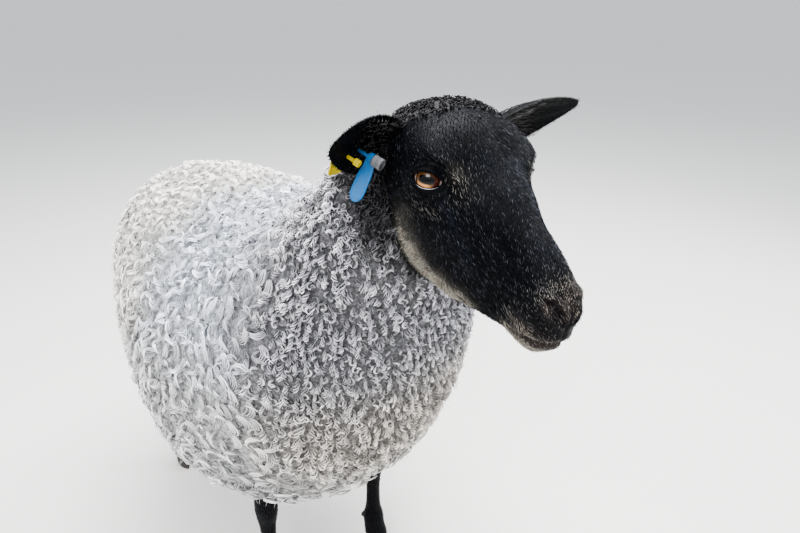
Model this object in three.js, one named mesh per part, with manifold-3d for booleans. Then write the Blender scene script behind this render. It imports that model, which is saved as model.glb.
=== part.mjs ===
// A standing ewe, life size: grey curly fleece, bare dark face and legs, two tags in the right ear.
// Millimetres, +X forward along the trunk, +Y to the animal's left, +Z up, floor at z = 0.
import * as THREE from 'three';
import { mergeVertices } from 'three/addons/utils/BufferGeometryUtils.js';
import Module from 'manifold-3d';

const wasm = await Module();
wasm.setup();

// ---- driving dimensions ----
const FIT_GAP = 0.4; // clearance between neighbouring pieces
const BODY_SIDES = 32; // flats around the trunk and neck
const NECK_START = 9; // station of the trunk table where the neck begins
const HEAD_ORIGIN = [506.9, 4.6, 856.3]; // skull centre, midway between the ear roots
const HEAD_FORWARD = [0.9307, -0.1883, -0.3137]; // the head is turned to the right and nose down
const HEAD_LEFT = [0.1623, 0.9809, -0.1071];
const EYE_RADIUS = 15;
const EYE_CENTRE = [81, 47, 14]; // forward, sideways, up in the head
const EAR_RIGHT = { root: [12, -50, 12], along: [0.49, -0.85, 0.19], opens: [0.9, -0.25, 0.08], length: 108, width: 27 };
const EAR_LEFT = { root: [12, 50, 16], along: [0.1, 0.9, 0.42], opens: [0.86, 0.5, -0.1], length: 114, width: 27 };
const FORE_FEET = { x: 243, y: 103, stagger: 16 };
const HIND_FEET = { x: -232, y: 92, stagger: -14 };
const CLAW_HEIGHT = 37;
const CLAW_SPREAD = 11.5; // each claw's centre from the leg's centre
const TAIL_TOP = 590;

// Trunk and neck over the fleece, rump to poll. Each station is a slanted section:
// top x, top z, bottom x, bottom z, half width, roundness, sag of the widest level
const TRUNK = [
  [-322, 505, -322, 462, 26, 2, 0],
  [-311, 592, -315, 392, 92, 2, 0.02],
  [-274, 656, -282, 330, 145, 2.1, 0.05],
  [-205, 699, -215, 285, 177, 2.2, 0.08],
  [-100, 719, -105, 256, 203, 2.2, 0.1],
  [20, 729, 20, 243, 226, 2.2, 0.1],
  [130, 728, 160, 244, 237, 2.2, 0.1],
  [190, 731, 275, 258, 232, 2.15, 0.08],
  [235, 732, 368, 306, 214, 2.1, 0.05],
  [285, 750, 435, 400, 199, 2.1, 0],
  [336, 779, 471, 500, 176, 2.05, 0],
  [388, 818, 499, 600, 148, 2, 0],
  [436, 863, 525, 690, 117, 2, 0],
  [478, 892, 550, 752, 89, 2, 0],
  [512, 904, 572, 785, 62, 2, 0],
];

// Head in its own frame, back of the skull to the lips: forward, top, bottom, half width,
// level of the widest line, roundness above it, roundness below it
const HEAD = [
  [-40, 22, -35, 24, 0, 2, 2],
  [-28, 38, -66, 47, 0, 2, 2],
  [-5, 54, -92, 57, 2, 2.1, 2],
  [20, 62, -108, 62, 4, 2.2, 1.9],
  [48, 66, -117, 65, 6, 2.3, 1.8],
  [72, 66, -115, 66, 8, 2.4, 1.8],
  [92, 60, -110, 59, 6, 2.2, 1.8],
  [115, 50, -106, 47, -2, 1.9, 1.8],
  [140, 41, -96, 37.5, -10, 1.9, 1.9],
  [170, 31, -82, 28.5, -15, 1.8, 2],
  [200, 23, -70, 25, -18, 1.9, 2],
  [220, 16, -68, 24, -20, 2, 2],
  [235, 7, -61, 20.5, -22, 2.1, 2],
  [243, -3, -50, 15, -24, 2.1, 2],
  [247, -16, -38, 6.5, -26, 2, 2],
];

// Limbs as level sections: z, x from the foot's centre, half length, half width
const FORE_LOWER = [
  [CLAW_HEIGHT + FIT_GAP, 0, 21, 21.5], [54, -4, 22.5, 21.5], [72, -9, 20.5, 20],
  [90, -11, 20, 20], [112, -11, 15, 15], [150, -10, 13.5, 13.5], [184, -9, 15, 15], [208, -8, 19.5, 18.5],
];
const FORE_UPPER = [
  [208 + FIT_GAP, -8, 19.5, 18.5], [226, -7, 21, 20], [248, -7, 20, 19], [288, -7, 23, 21],
  [330, -6, 32, 28], [378, -6, 44, 36], [420, -6, 48, 38],
];
const HIND_LOWER = [
  [CLAW_HEIGHT + FIT_GAP, 0, 21, 21.5], [54, -4, 22.5, 21.5], [72, -9, 20.5, 20],
  [90, -12, 20, 20], [112, -15, 15.5, 15], [150, -20, 14.5, 13.5], [186, -27, 17.5, 15.5], [208, -33, 22, 17.5],
];
const HIND_UPPER = [
  [208 + FIT_GAP, -33, 22, 17.5], [226, -34, 23.5, 18], [248, -30, 23, 18], [282, -18, 27, 21],
  [325, -2, 38, 29], [372, 16, 52, 36], [408, 26, 56, 38],
];
// One claw: z, x, half length, half width
const CLAW = [
  [0, 12, 29, 10.6], [9, 10, 28.5, 10.9], [20, 6.5, 26, 10.8], [30, 3, 22.5, 10.2], [CLAW_HEIGHT, 1, 19.5, 9.2],
];
const TAIL = [
  [414, -336, 9, 12], [424, -337, 20, 30], [460, -337, 26, 42], [510, -331, 29, 45],
  [555, -315, 29, 41], [TAIL_TOP, -292, 22, 26],
];

// ---- curves and lofts ----
function smooth(rows, column, at) {
  // cubic Hermite through equally spaced stations, with mean slopes
  const last = rows.length - 1;
  const k = Math.min(Math.floor(at), last - 1);
  const t = at - k;
  const value = (i) => rows[i][column];
  const slope = (i) => (value(Math.min(i + 1, last)) - value(Math.max(i - 1, 0))) /
    (Math.min(i + 1, last) - Math.max(i - 1, 0));
  return (1 + 2 * t) * (1 - t) ** 2 * value(k) + t * (1 - t) ** 2 * slope(k) +
    t * t * (3 - 2 * t) * value(k + 1) - t * t * (1 - t) * slope(k + 1);
}

const power = (v, e) => Math.sign(v) * Math.abs(v) ** e;

function loft(rings) {
  // closed skin over a list of rings of points, with a flat fan on each end
  const around = rings[0].length;
  const points = rings.flat();
  const index = [];
  for (let i = 0; i + 1 < rings.length; i++) {
    for (let j = 0; j < around; j++) {
      const a = i * around + j;
      const b = i * around + ((j + 1) % around);
      index.push(a, b, b + around, a, b + around, a + around);
    }
  }
  for (const end of [0, rings.length - 1]) {
    const centre = new THREE.Vector3();
    for (const p of rings[end]) centre.addScaledVector(p, 1 / around);
    points.push(centre);
    for (let j = 0; j < around; j++) {
      const a = end * around + j;
      const b = end * around + ((j + 1) % around);
      index.push(...(end === 0 ? [b, a, points.length - 1] : [a, b, points.length - 1]));
    }
  }
  let volume = 0;
  for (let i = 0; i < index.length; i += 3) {
    volume += points[index[i]].dot(points[index[i + 1]].clone().cross(points[index[i + 2]]));
  }
  if (volume < 0) for (let i = 0; i < index.length; i += 3) [index[i], index[i + 1]] = [index[i + 1], index[i]];
  const geometry = new THREE.BufferGeometry().setFromPoints(points);
  geometry.setIndex(index);
  return geometry;
}

const steps = (from, to, count) => Array.from({ length: count }, (_, i) => from + ((to - from) * i) / (count - 1));

function trunkRing(at, grow = 0) {
  const [topX, topZ, bottomX, bottomZ, width, round, sag] = steps(0, 6, 7).map((c) => smooth(TRUNK, c, at));
  const middle = [(topX + bottomX) / 2, (topZ + bottomZ) / 2];
  const length = Math.hypot(topX - bottomX, topZ - bottomZ) / 2;
  const half = [(topX - bottomX) / 2, (topZ - bottomZ) / 2].map((v) => (v * (length + grow)) / length);
  return steps(0, BODY_SIDES - 1, BODY_SIDES).map((i) => {
    const angle = (2 * Math.PI * i) / BODY_SIDES;
    const along0 = power(Math.sin(angle), 2 / round);
    const along = along0 - sag * (1 - along0 * along0);
    return new THREE.Vector3(middle[0] + half[0] * along, (width + grow) * power(Math.cos(angle), 2 / round),
      middle[1] + half[1] * along);
  });
}

function headRing(at, grow = 0, sides = 30) {
  const [x, top, bottom, width, level, above, below] = steps(0, 6, 7).map((c) => smooth(HEAD, c, at));
  return steps(0, sides - 1, sides).map((i) => {
    const angle = (2 * Math.PI * (i + 0.5)) / sides;
    const e = 2 / (Math.sin(angle) >= 0 ? above : below);
    const rise = power(Math.sin(angle), e);
    const reach = rise >= 0 ? top + grow - level : level - bottom + grow;
    return new THREE.Vector3(x, (width + grow) * power(Math.cos(angle), e), level + reach * rise);
  });
}

function limb(rows, ringCount, sides, grow = 0) {
  return loft(steps(0, rows.length - 1, ringCount).map((at) => {
    const [z, x, halfX, halfY] = steps(0, 3, 4).map((c) => smooth(rows, c, at));
    return steps(0, sides - 1, sides).map((i) => {
      const angle = (2 * Math.PI * (i + 0.5)) / sides;
      return new THREE.Vector3(x + (halfX + grow) * Math.cos(angle), (halfY + grow) * Math.sin(angle), z);
    });
  }));
}

// ---- solids: boolean cuts and joins ----
function solid(geometry, matrix) {
  let g = geometry.clone();
  g.deleteAttribute('normal');
  g.deleteAttribute('uv');
  if (matrix) g.applyMatrix4(matrix);
  g = mergeVertices(g, 1e-4);
  return new wasm.Manifold(new wasm.Mesh({
    numProp: 3,
    vertProperties: new Float32Array(g.attributes.position.array),
    triVerts: new Uint32Array(g.index.array),
  }));
}

function geometryOf(manifold) {
  // the largest piece, so that no sliver of a cut is left beside it
  const piece = manifold.decompose().sort((a, b) => b.volume() - a.volume())[0];
  const mesh = piece.getMesh();
  const geometry = new THREE.BufferGeometry();
  geometry.setAttribute('position', new THREE.BufferAttribute(new Float32Array(mesh.vertProperties), 3));
  geometry.setIndex(new THREE.BufferAttribute(new Uint32Array(mesh.triVerts), 1));
  return geometry;
}

function ellipsoid(centre, radii, around = 12, levels = 8, turn = [0, 0, 0]) {
  const g = new THREE.SphereGeometry(1, around, levels);
  g.applyMatrix4(new THREE.Matrix4().compose(new THREE.Vector3(...centre),
    new THREE.Quaternion().setFromEuler(new THREE.Euler(...turn)), new THREE.Vector3(...radii)));
  return solid(g);
}

// ---- materials ----
const finish = (color, roughness) => new THREE.MeshStandardMaterial({ color, roughness, metalness: 0 });
const fleece = finish('#a8a5a3', 0.95);
const shortHair = finish('#232225', 0.8);
const horn = finish('#2c2825', 0.6);
const eyeFinish = finish('#8a5a2c', 0.15);
const tagBlue = finish('#3f7fae', 0.5);
const tagYellow = finish('#c9b13a', 0.5);
const tagGrey = finish('#77777c', 0.5);

function named(name, geometry, material) {
  const mesh = new THREE.Mesh(geometry, material);
  geometry.computeVertexNormals();
  mesh.name = name;
  return mesh;
}

// ---- head group ----
const forward = new THREE.Vector3(...HEAD_FORWARD).normalize();
const left = new THREE.Vector3(...HEAD_LEFT);
left.addScaledVector(forward, -left.dot(forward)).normalize();
const headGroup = new THREE.Group();
headGroup.quaternion.setFromRotationMatrix(
  new THREE.Matrix4().makeBasis(forward, left, forward.clone().cross(left)));
headGroup.position.set(...HEAD_ORIGIN);
headGroup.updateMatrix();

const headStations = [0, 0.8, 1.6, 2.4, 3.2, 4, 4.7, 5.4, 6, 6.6, 7.3, 8, 8.7, 9.4, 10.1, 10.8, 11.5, 12.1, 12.7, 13.3, 14];
const skull = solid(loft(headStations.map((at) => headRing(at))));
const skullGrown = solid(loft(headStations.map((at) => headRing(at, FIT_GAP * 1.3))));

let head = skull;
for (const side of [-1, 1]) {
  const [ex, ey, ez] = [EYE_CENTRE[0], side * EYE_CENTRE[1], EYE_CENTRE[2]];
  // brow over the eye, then the orbit's hollow in front of the eyeball
  head = head.add(ellipsoid([80, side * 42, 37], [27, 20.5, 12], 14, 8, [0, 0.2, -side * 0.2]));
  head = head.subtract(ellipsoid([ex + 15, side * 63.5, ez + 3], [12, 20, 12], 14, 8, [0, -0.25, -side * 0.84]));
  head = head.subtract(ellipsoid([ex, ey, ez], [EYE_RADIUS + FIT_GAP, EYE_RADIUS + FIT_GAP, EYE_RADIUS + FIT_GAP], 16, 9));
  // nostril: a slit that runs from the front of the nose back and outward
  head = head.subtract(ellipsoid([237, side * 13, -8], [13, 3.4, 5], 8, 6, [0, 0.23, -side * 0.74]));
}
// mouth: a thin slit from the lips to its corner
const slit = new THREE.BoxGeometry(62, 90, 0.9);
slit.applyMatrix4(new THREE.Matrix4().makeRotationY(0.12));
slit.translate(223, 0, -49);
head = head.subtract(solid(slit));
headGroup.add(named('head', geometryOf(head), shortHair));

for (const [name, side] of [['eye_right', -1], ['eye_left', 1]]) {
  const eye = named(name, geometryOf(ellipsoid([0, 0, 0], [EYE_RADIUS, EYE_RADIUS, EYE_RADIUS], 16, 9)), eyeFinish);
  eye.position.set(EYE_CENTRE[0], side * EYE_CENTRE[1], EYE_CENTRE[2]);
  headGroup.add(eye);
}

// ---- ears: cupped leaves ----
function earFrame(ear) {
  // along the ear, then the way its cup opens, then across it towards its lower edge
  const along = new THREE.Vector3(...ear.along).normalize();
  const opens = new THREE.Vector3(...ear.opens);
  opens.addScaledVector(along, -opens.dot(along)).normalize();
  return { along, opens, across: along.clone().cross(opens).multiplyScalar(Math.sign(ear.root[1])) };
}

function earPoint(ear, frame, t, u, depth) {
  // u runs across the leaf from edge to edge, depth is measured out of the cup's face
  const s = Math.max(t, 0);
  const w = ear.width * (0.5 + 0.62 * Math.sin(Math.PI * s ** 0.8) ** 0.8) * Math.sqrt(Math.max(1 - s ** 5, 0.012));
  const cup = w * (0.95 - 0.6 * t);
  const angle = u * (1.5 - 0.7 * t);
  return new THREE.Vector3(...ear.root)
    .addScaledVector(frame.along, ear.length * t)
    .addScaledVector(frame.across, (w * Math.sin(angle)) / Math.sin(Math.max(1.5 - 0.7 * t, 0.8)))
    .addScaledVector(frame.opens, cup * (1 - Math.cos(angle)) - cup * 0.55 + depth);
}

function earGeometry(ear, grow = 0) {
  const frame = earFrame(ear);
  return loft(steps(-0.12, 0.985, 11).map((t) => {
    const thick = (3.2 - 1.7 * Math.max(t, 0)) * Math.sqrt(Math.max(1 - t ** 6, 0.1)) + grow;
    const edge = steps(0, 15, 16).map((i) => {
      const angle = (2 * Math.PI * (i + 0.5)) / 16;
      return earPoint(ear, frame, t, Math.cos(angle) * (1 + grow / ear.width), thick * Math.sin(angle));
    });
    return edge;
  }));
}

function tagFrame(ear, t, u) {
  const frame = earFrame(ear);
  return { frame, point: earPoint(ear, frame, t, u, 0) };
}

function turnTo(direction, point, roll = 0) {
  // matrix that carries +Y to a direction at a point
  const q = new THREE.Quaternion().setFromUnitVectors(new THREE.Vector3(0, 1, 0), direction.clone().normalize());
  q.multiply(new THREE.Quaternion().setFromAxisAngle(new THREE.Vector3(0, 1, 0), roll));
  return new THREE.Matrix4().compose(point, q, new THREE.Vector3(1, 1, 1));
}

const TAG_A = tagFrame(EAR_RIGHT, 0.44, 0.25); // blue flag's stud
const TAG_B = tagFrame(EAR_RIGHT, 0.62, 0.4); // yellow flag's stud
const STUD_LENGTH = 26;
const stemHole = (tag) => solid(new THREE.CylinderGeometry(2.3, 2.3, STUD_LENGTH + 4, 12), turnTo(tag.frame.opens, tag.point));

let earRight = solid(earGeometry(EAR_RIGHT)).subtract(skullGrown);
let earLeft = solid(earGeometry(EAR_LEFT)).subtract(skullGrown);
earRight = earRight.subtract(stemHole(TAG_A)).subtract(stemHole(TAG_B));
headGroup.add(named('ear_right', geometryOf(earRight), shortHair));
headGroup.add(named('ear_left', geometryOf(earLeft), shortHair));

function flag(length, width, thickness) {
  // a soft tag's outline: round at the stud, straight sides, cut square below
  const outline = new THREE.Shape();
  outline.absarc(0, 0, width * 0.36, 0.25, Math.PI - 0.25, false);
  outline.lineTo(-width / 2, -length * 0.3);
  outline.lineTo(-width / 2, -length + 4);
  outline.lineTo(-width / 2 + 4, -length);
  outline.lineTo(width / 2 - 4, -length);
  outline.lineTo(width / 2, -length + 4);
  outline.lineTo(width / 2, -length * 0.3);
  outline.closePath();
  const g = new THREE.ExtrudeGeometry(outline, { depth: thickness, bevelEnabled: false, curveSegments: 5 });
  g.translate(0, 0, -thickness / 2);
  return g;
}

function hang(point, face, offset, spin = 0) {
  // matrix that hangs a flag: its length points down in the world, its face looks along "face"
  const worldDown = new THREE.Vector3(0, 0, -1).applyQuaternion(headGroup.quaternion.clone().invert());
  const z = face.clone().normalize();
  const y = worldDown.clone().negate();
  y.addScaledVector(z, -y.dot(z)).normalize();
  const m = new THREE.Matrix4().makeBasis(y.clone().cross(z), y, z);
  m.multiply(new THREE.Matrix4().makeRotationZ(spin));
  return m.setPosition(point.clone().addScaledVector(z, offset));
}

const stem = (radius, length) => new THREE.CylinderGeometry(radius, radius, length, 14);
function studOn(tag, offset) {
  return turnTo(tag.frame.opens, tag.point.clone().addScaledVector(tag.frame.opens, offset));
}

// blue pair: the flag hangs in the cup on its stem, turned outward, with a thick grey button over it
const greyButton = solid(stem(5.6, 10), studOn(TAG_A, 25.9));
const bluePanel = solid(flag(42, 13.5, 1.8), hang(TAG_A.point.clone().addScaledVector(TAG_A.frame.opens, 18.5),
  new THREE.Vector3(0.78, -0.35, 0.5), 0, -0.46))
  .subtract(solid(stem(5.6 + FIT_GAP, 10 + 2 * FIT_GAP), studOn(TAG_A, 25.9)))
  .add(solid(stem(1.8, STUD_LENGTH + 2 - FIT_GAP), studOn(TAG_A, 6.5)));
// yellow pair: the flag hangs behind the ear, the pin stands in the cup
const yellowPanel = solid(flag(30, 15, 1.8), hang(TAG_B.point, TAG_B.frame.opens, -9, 0.3))
  .add(solid(stem(1.8, 20), studOn(TAG_B, 0)));
const yellowPin = solid(stem(3.4, 6), studOn(TAG_B, 13.4));
headGroup.add(named('tag_blue_panel', geometryOf(bluePanel), tagBlue));
headGroup.add(named('tag_grey_button', geometryOf(greyButton), tagGrey));
headGroup.add(named('tag_yellow_panel', geometryOf(yellowPanel), tagYellow));
headGroup.add(named('tag_yellow_pin', geometryOf(yellowPin), tagYellow));

// ---- trunk, neck and tail ----
const sheep = new THREE.Group();
const trunkStations = [0, 0.35, 0.8, 1.3, 1.8, 2.4, 3, 3.6, 4.3, 5, 5.7, 6.3, 6.9, 7.5, 8.1, 8.6, NECK_START];
const trunkSolid = solid(loft(trunkStations.map((at) => trunkRing(at))));
const trunkGrown = solid(loft(trunkStations.map((at) => trunkRing(at, FIT_GAP * 1.5))));
sheep.add(named('trunk', geometryOf(trunkSolid), fleece));

// the neck's first ring lies one gap in front of the trunk's last, in a parallel plane
const slant = new THREE.Vector3(TRUNK[NECK_START][1] - TRUNK[NECK_START][3], 0,
  TRUNK[NECK_START][2] - TRUNK[NECK_START][0]).normalize();
const neckStations = steps(NECK_START, TRUNK.length - 1, 9);
const neckRings = neckStations.map((at, i) =>
  trunkRing(at).map((p) => (i === 0 ? p.addScaledVector(slant, FIT_GAP) : p)));
const skullInBody = skullGrown.transform(headGroup.matrix.elements);
const earsInBody = [EAR_RIGHT, EAR_LEFT].map((ear) =>
  solid(earGeometry(ear, FIT_GAP * 1.5)).transform(headGroup.matrix.elements));
let neck = solid(loft(neckRings)).subtract(skullInBody);
for (const ear of earsInBody) neck = neck.subtract(ear);
// the wool stops behind the ears and the cheeks
for (const side of [-1, 1]) {
  neck = neck.subtract(ellipsoid([50, side * 98, -8], [56, 52, 66], 16, 10).transform(headGroup.matrix.elements));
}
sheep.add(named('neck', geometryOf(neck), fleece));
sheep.add(named('tail', geometryOf(solid(limb(TAIL, 7, 12)).subtract(trunkGrown)), fleece));

// ---- legs and claws ----
for (const [end, feet, lower, upper] of [['fore', FORE_FEET, FORE_LOWER, FORE_UPPER],
  ['hind', HIND_FEET, HIND_LOWER, HIND_UPPER]]) {
  for (const [sideName, side] of [['right', -1], ['left', 1]]) {
    const leg = new THREE.Group();
    leg.position.set(feet.x + (side > 0 ? feet.stagger : 0), side * feet.y, 0);
    leg.updateMatrix();
    const here = new THREE.Matrix4().makeTranslation(-leg.position.x, -leg.position.y, 0);
    const above = solid(limb(upper, 7, 12)).subtract(trunkGrown.transform(here.elements));
    leg.add(named(`leg_${end}_${sideName}_upper`, geometryOf(above), shortHair));
    leg.add(named(`leg_${end}_${sideName}_lower`, geometryOf(solid(limb(lower, 10, 12))), shortHair));
    for (const [clawName, place] of [['inner', -side], ['outer', side]]) {
      const claw = named(`claw_${end}_${sideName}_${clawName}`, geometryOf(solid(limb(CLAW, 5, 10))), horn);
      claw.position.y = place * CLAW_SPREAD;
      leg.add(claw);
    }
    sheep.add(leg);
  }
}

sheep.add(headGroup);

// the origin is the middle of the footprint box, on the floor
sheep.updateMatrixWorld(true);
const box = new THREE.Box3().setFromObject(sheep, true);
const centre = box.getCenter(new THREE.Vector3());
const stand = new THREE.Group();
sheep.position.set(-centre.x, -centre.y, -box.min.z);
stand.add(sheep);

export default stand;
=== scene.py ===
import math
import bpy
import numpy as np
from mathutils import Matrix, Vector


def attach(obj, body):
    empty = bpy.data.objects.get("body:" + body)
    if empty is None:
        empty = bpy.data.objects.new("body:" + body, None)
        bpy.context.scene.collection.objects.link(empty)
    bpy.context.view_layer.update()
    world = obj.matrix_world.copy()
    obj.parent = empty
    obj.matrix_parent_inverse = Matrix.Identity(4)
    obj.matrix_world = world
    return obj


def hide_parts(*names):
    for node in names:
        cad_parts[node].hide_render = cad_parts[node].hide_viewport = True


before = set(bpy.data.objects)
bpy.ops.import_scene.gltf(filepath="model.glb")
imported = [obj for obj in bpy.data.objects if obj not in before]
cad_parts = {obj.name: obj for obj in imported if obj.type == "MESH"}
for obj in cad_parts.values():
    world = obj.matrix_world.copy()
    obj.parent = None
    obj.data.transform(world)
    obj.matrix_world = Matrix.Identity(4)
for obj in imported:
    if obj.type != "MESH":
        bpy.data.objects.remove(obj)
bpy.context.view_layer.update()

random = np.random.default_rng(11)
print("frame loaded:", len(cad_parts), "nodes")


def linearHex(code):
    # an sRGB hex colour as linear red, green and blue
    parts = np.array([int(code[i:i + 2], 16) / 255 for i in (1, 3, 5)])
    return np.where(parts <= 0.04045, parts / 12.92, ((parts + 0.055) / 1.055) ** 2.4)


def rgba(code):
    return (*linearHex(code), 1.0)


def addNode(tree, kind, inputs=None, links=None, **settings):
    # one node: settings are its properties, inputs its socket values, links its {socket: (node, output)}
    node = tree.nodes.new(kind)
    for name, value in settings.items():
        setattr(node, name, value)
    for name, value in (inputs or {}).items():
        node.inputs[name].default_value = value
    for name, (source, output) in (links or {}).items():
        tree.links.new(source.outputs[output], node.inputs[name])
    return node


def smoothStep(low, high, value):
    # 0 up to low and 1 from high, with three t squared less two t cubed between them
    t = np.clip((value - low) / (high - low), 0, 1)
    return t * t * (3 - 2 * t)


def unit(v):
    return v / np.maximum(np.linalg.norm(v, axis=-1, keepdims=True), 1e-9)


def signedPower(value, power):
    return np.sign(value) * np.abs(value) ** power


def bell(value, width, power=2):
    # 1 in the middle, falling off as e to the minus power of the distance in widths
    return np.exp(-((value / width) ** power))


def mirrored(q):
    # the same place on the left half of the head
    return np.stack([q[..., 0], np.abs(q[..., 1]), q[..., 2]], -1)


def laidFlat(flow, away):
    # a direction without its part along the normal
    return unit(flow - away * (flow * away).sum(-1, keepdims=True))


def roundSteps(count):
    return np.linspace(0, 2 * np.pi, count + 1)[:-1]


def halfSteps(count):
    return 2 * np.pi * (np.arange(count) + 0.5) / count


def sideName(side):
    return "Right" if side < 0 else "Left"


def smoothTable(table, s):
    # cubic curve through a table's rows: s counts rows, a slope is half the difference of its neighbours
    table = np.asarray(table, float)
    slope = np.empty_like(table)
    slope[1:-1] = (table[2:] - table[:-2]) / 2
    slope[0], slope[-1] = table[1] - table[0], table[-1] - table[-2]
    s = np.asarray(s, float)
    i = np.clip(np.floor(s).astype(int), 0, len(table) - 2)
    f = (s - i)[..., None]
    return ((2 * f**3 - 3 * f**2 + 1) * table[i] + (f**3 - 2 * f**2 + f) * slope[i]
            + (3 * f**2 - 2 * f**3) * table[i + 1] + (f**3 - f**2) * slope[i + 1])


def softNoise(p, size, seed):
    # smooth patches about "size" across: a sum of sine waves in random directions, about -1 to 1
    source = np.random.default_rng(seed)
    total = 0
    for _ in range(7):
        way = unit(source.normal(size=3)) * (2 * math.pi / (size * source.uniform(0.7, 1.6)))
        total = total + np.sin(p @ way + source.uniform(0, 6.28))
    return total / 3.2


# the body's shapes, in millimetres, the same sections as the solids
bodyShape = {
    "centreX": 185.35,  # the part's middle, seen from the sheep's own zero
    # topX, topZ, bottomX, bottomZ, half width, roundness, sag
    "trunk": [[-322, 505, -322, 462, 26, 2, 0], [-311, 592, -315, 392, 92, 2, 0.02],
              [-274, 656, -282, 330, 145, 2.1, 0.05], [-205, 699, -215, 285, 177, 2.2, 0.08],
              [-100, 719, -105, 256, 203, 2.2, 0.1], [20, 729, 20, 243, 226, 2.2, 0.1],
              [130, 728, 160, 244, 237, 2.2, 0.1], [190, 731, 275, 258, 232, 2.15, 0.08],
              [235, 732, 368, 306, 214, 2.1, 0.05], [285, 750, 435, 400, 199, 2.1, 0],
              [336, 779, 471, 500, 176, 2.05, 0], [388, 818, 499, 600, 148, 2, 0],
              [436, 863, 525, 690, 117, 2, 0], [478, 892, 550, 752, 89, 2, 0],
              [512, 904, 572, 785, 62, 2, 0]],
    # how deep the fleece is at each of those sections
    "coatDepth": [8, 11, 13, 14, 14, 14, 14, 14, 14, 14, 14, 14, 13, 12, 11],
}
headShape = {
    "origin": [506.9, 4.6, 856.3], "forward": [0.9307, -0.1883, -0.3137], "left": [0.1623, 0.9809, -0.1071],
    # x, top, bottom, half width, level of the widest point, roundness above and below it
    "sections": [[-40, 22, -35, 24, 0, 2, 2], [-28, 38, -66, 47, 0, 2, 2], [-5, 54, -92, 57, 2, 2.1, 2],
                 [20, 62, -108, 62, 4, 2.2, 1.9], [48, 66, -117, 65, 6, 2.3, 1.8],
                 [72, 66, -115, 66, 8, 2.4, 1.8], [92, 60, -110, 59, 6, 2.2, 1.8],
                 [115, 50, -106, 47, -2, 1.9, 1.8], [140, 41, -96, 37.5, -10, 1.9, 1.9],
                 [170, 31, -82, 28.5, -15, 1.8, 2], [200, 23, -70, 25, -18, 1.9, 2],
                 [220, 16, -68, 24, -20, 2, 2], [235, 7, -61, 20.5, -22, 2.1, 2],
                 [243, -3, -50, 15, -24, 2.1, 2], [247, -16, -38, 6.5, -26, 2, 2]],
    "inset": 1.6,  # the short hair's depth over the skin
}
legShape = {
    "foreFeet": [243, 103, 16], "hindFeet": [-232, 92, -14],  # x, y, and how far the left foot stands ahead
    # z, x from the foot's middle, half lengths along and across
    "fore": [[37.4, 0, 21, 21.5], [54, -4, 22.5, 21.5], [72, -9, 20.5, 20], [90, -11, 20, 20],
             [112, -11, 15, 15], [150, -10, 13.5, 13.5], [184, -9, 15, 15], [208, -8, 19.5, 18.5],
             [226, -7, 21, 20], [248, -7, 20, 19], [288, -7, 23, 21], [330, -6, 32, 28], [378, -6, 44, 36],
             [420, -6, 48, 38]],
    "hind": [[37.4, 0, 21, 21.5], [54, -4, 22.5, 21.5], [72, -9, 20.5, 20], [90, -12, 20, 20],
             [112, -15, 15.5, 15], [150, -20, 14.5, 13.5], [186, -27, 17.5, 15.5], [208, -33, 22, 17.5],
             [226, -34, 23.5, 18], [248, -30, 23, 18], [282, -18, 27, 21], [325, -2, 38, 29],
             [372, 16, 52, 36], [408, 26, 56, 38]],
    "claw": [[0, 12, 29, 10.6], [9, 10, 28.5, 10.9], [20, 6.5, 26, 10.8], [30, 3, 22.5, 10.2],
             [37, 1, 19.5, 9.2]],
    "clawSpread": 11.5, "foreJoint": 212, "hindJoint": 228, "inset": 1.8,  # the short hair's depth
}
tailShape = [[414, -336, 9, 12], [424, -337, 20, 30], [460, -337, 26, 42], [510, -331, 29, 45],
             [555, -315, 29, 41], [590, -292, 22, 26]]
earShape = {
    "right": {"root": [12, -50, 12], "along": [0.49, -0.85, 0.19], "opens": [0.9, -0.25, 0.08], "length": 108,
              "width": 27},
    "left": {"root": [12, 50, 16], "along": [0.1, 0.9, 0.42], "opens": [0.86, 0.5, -0.1], "length": 114,
             "width": 27},
}
# the wool's hollow at each side, in the head's frame: x and z, half lengths, distance from the midline
hollow = {"middle": [50, -8], "halfLengths": [56, 52, 66], "out": 98}
eyeShape = {"centre": [81, 47, 14], "radius": 15, "looks": [.62, .74, .26], "corner": [.730, -.666, .154]}

headBack, headTip = headShape["sections"][0][0], headShape["sections"][-1][0]
headOrigin = np.array(headShape["origin"], float)
headForward = unit(np.array(headShape["forward"], float))
headLeft = np.array(headShape["left"], float)
headLeft = unit(headLeft - headForward * (headLeft @ headForward))
headAxes = np.array([headForward, headLeft, np.cross(headForward, headLeft)])


def headToBody(p):
    # from the head's own frame to the sheep's
    return headOrigin + p @ headAxes


def bodyToHead(p):
    return (p - headOrigin) @ headAxes.T


def parted(p, inset=0.0):
    # the wool stops behind the ears and cheeks: at each side a hollow, an ellipsoid's inner face
    q = bodyToHead(p)
    x, z = hollow["middle"]
    halfX, halfY, halfZ = hollow["halfLengths"]
    left = 1 - ((q[..., 0] - x) / (halfX + inset)) ** 2 - ((q[..., 2] - z) / (halfZ + inset)) ** 2
    limit = np.where(left > 0, hollow["out"] - (halfY + inset) * np.sqrt(np.maximum(left, 0)), 400)
    y = np.abs(q[..., 1])
    over = np.maximum(y - limit, 0)
    q = np.stack([q[..., 0], np.sign(q[..., 1]) * (y - over), q[..., 2]], -1)
    return headToBody(q)


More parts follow.
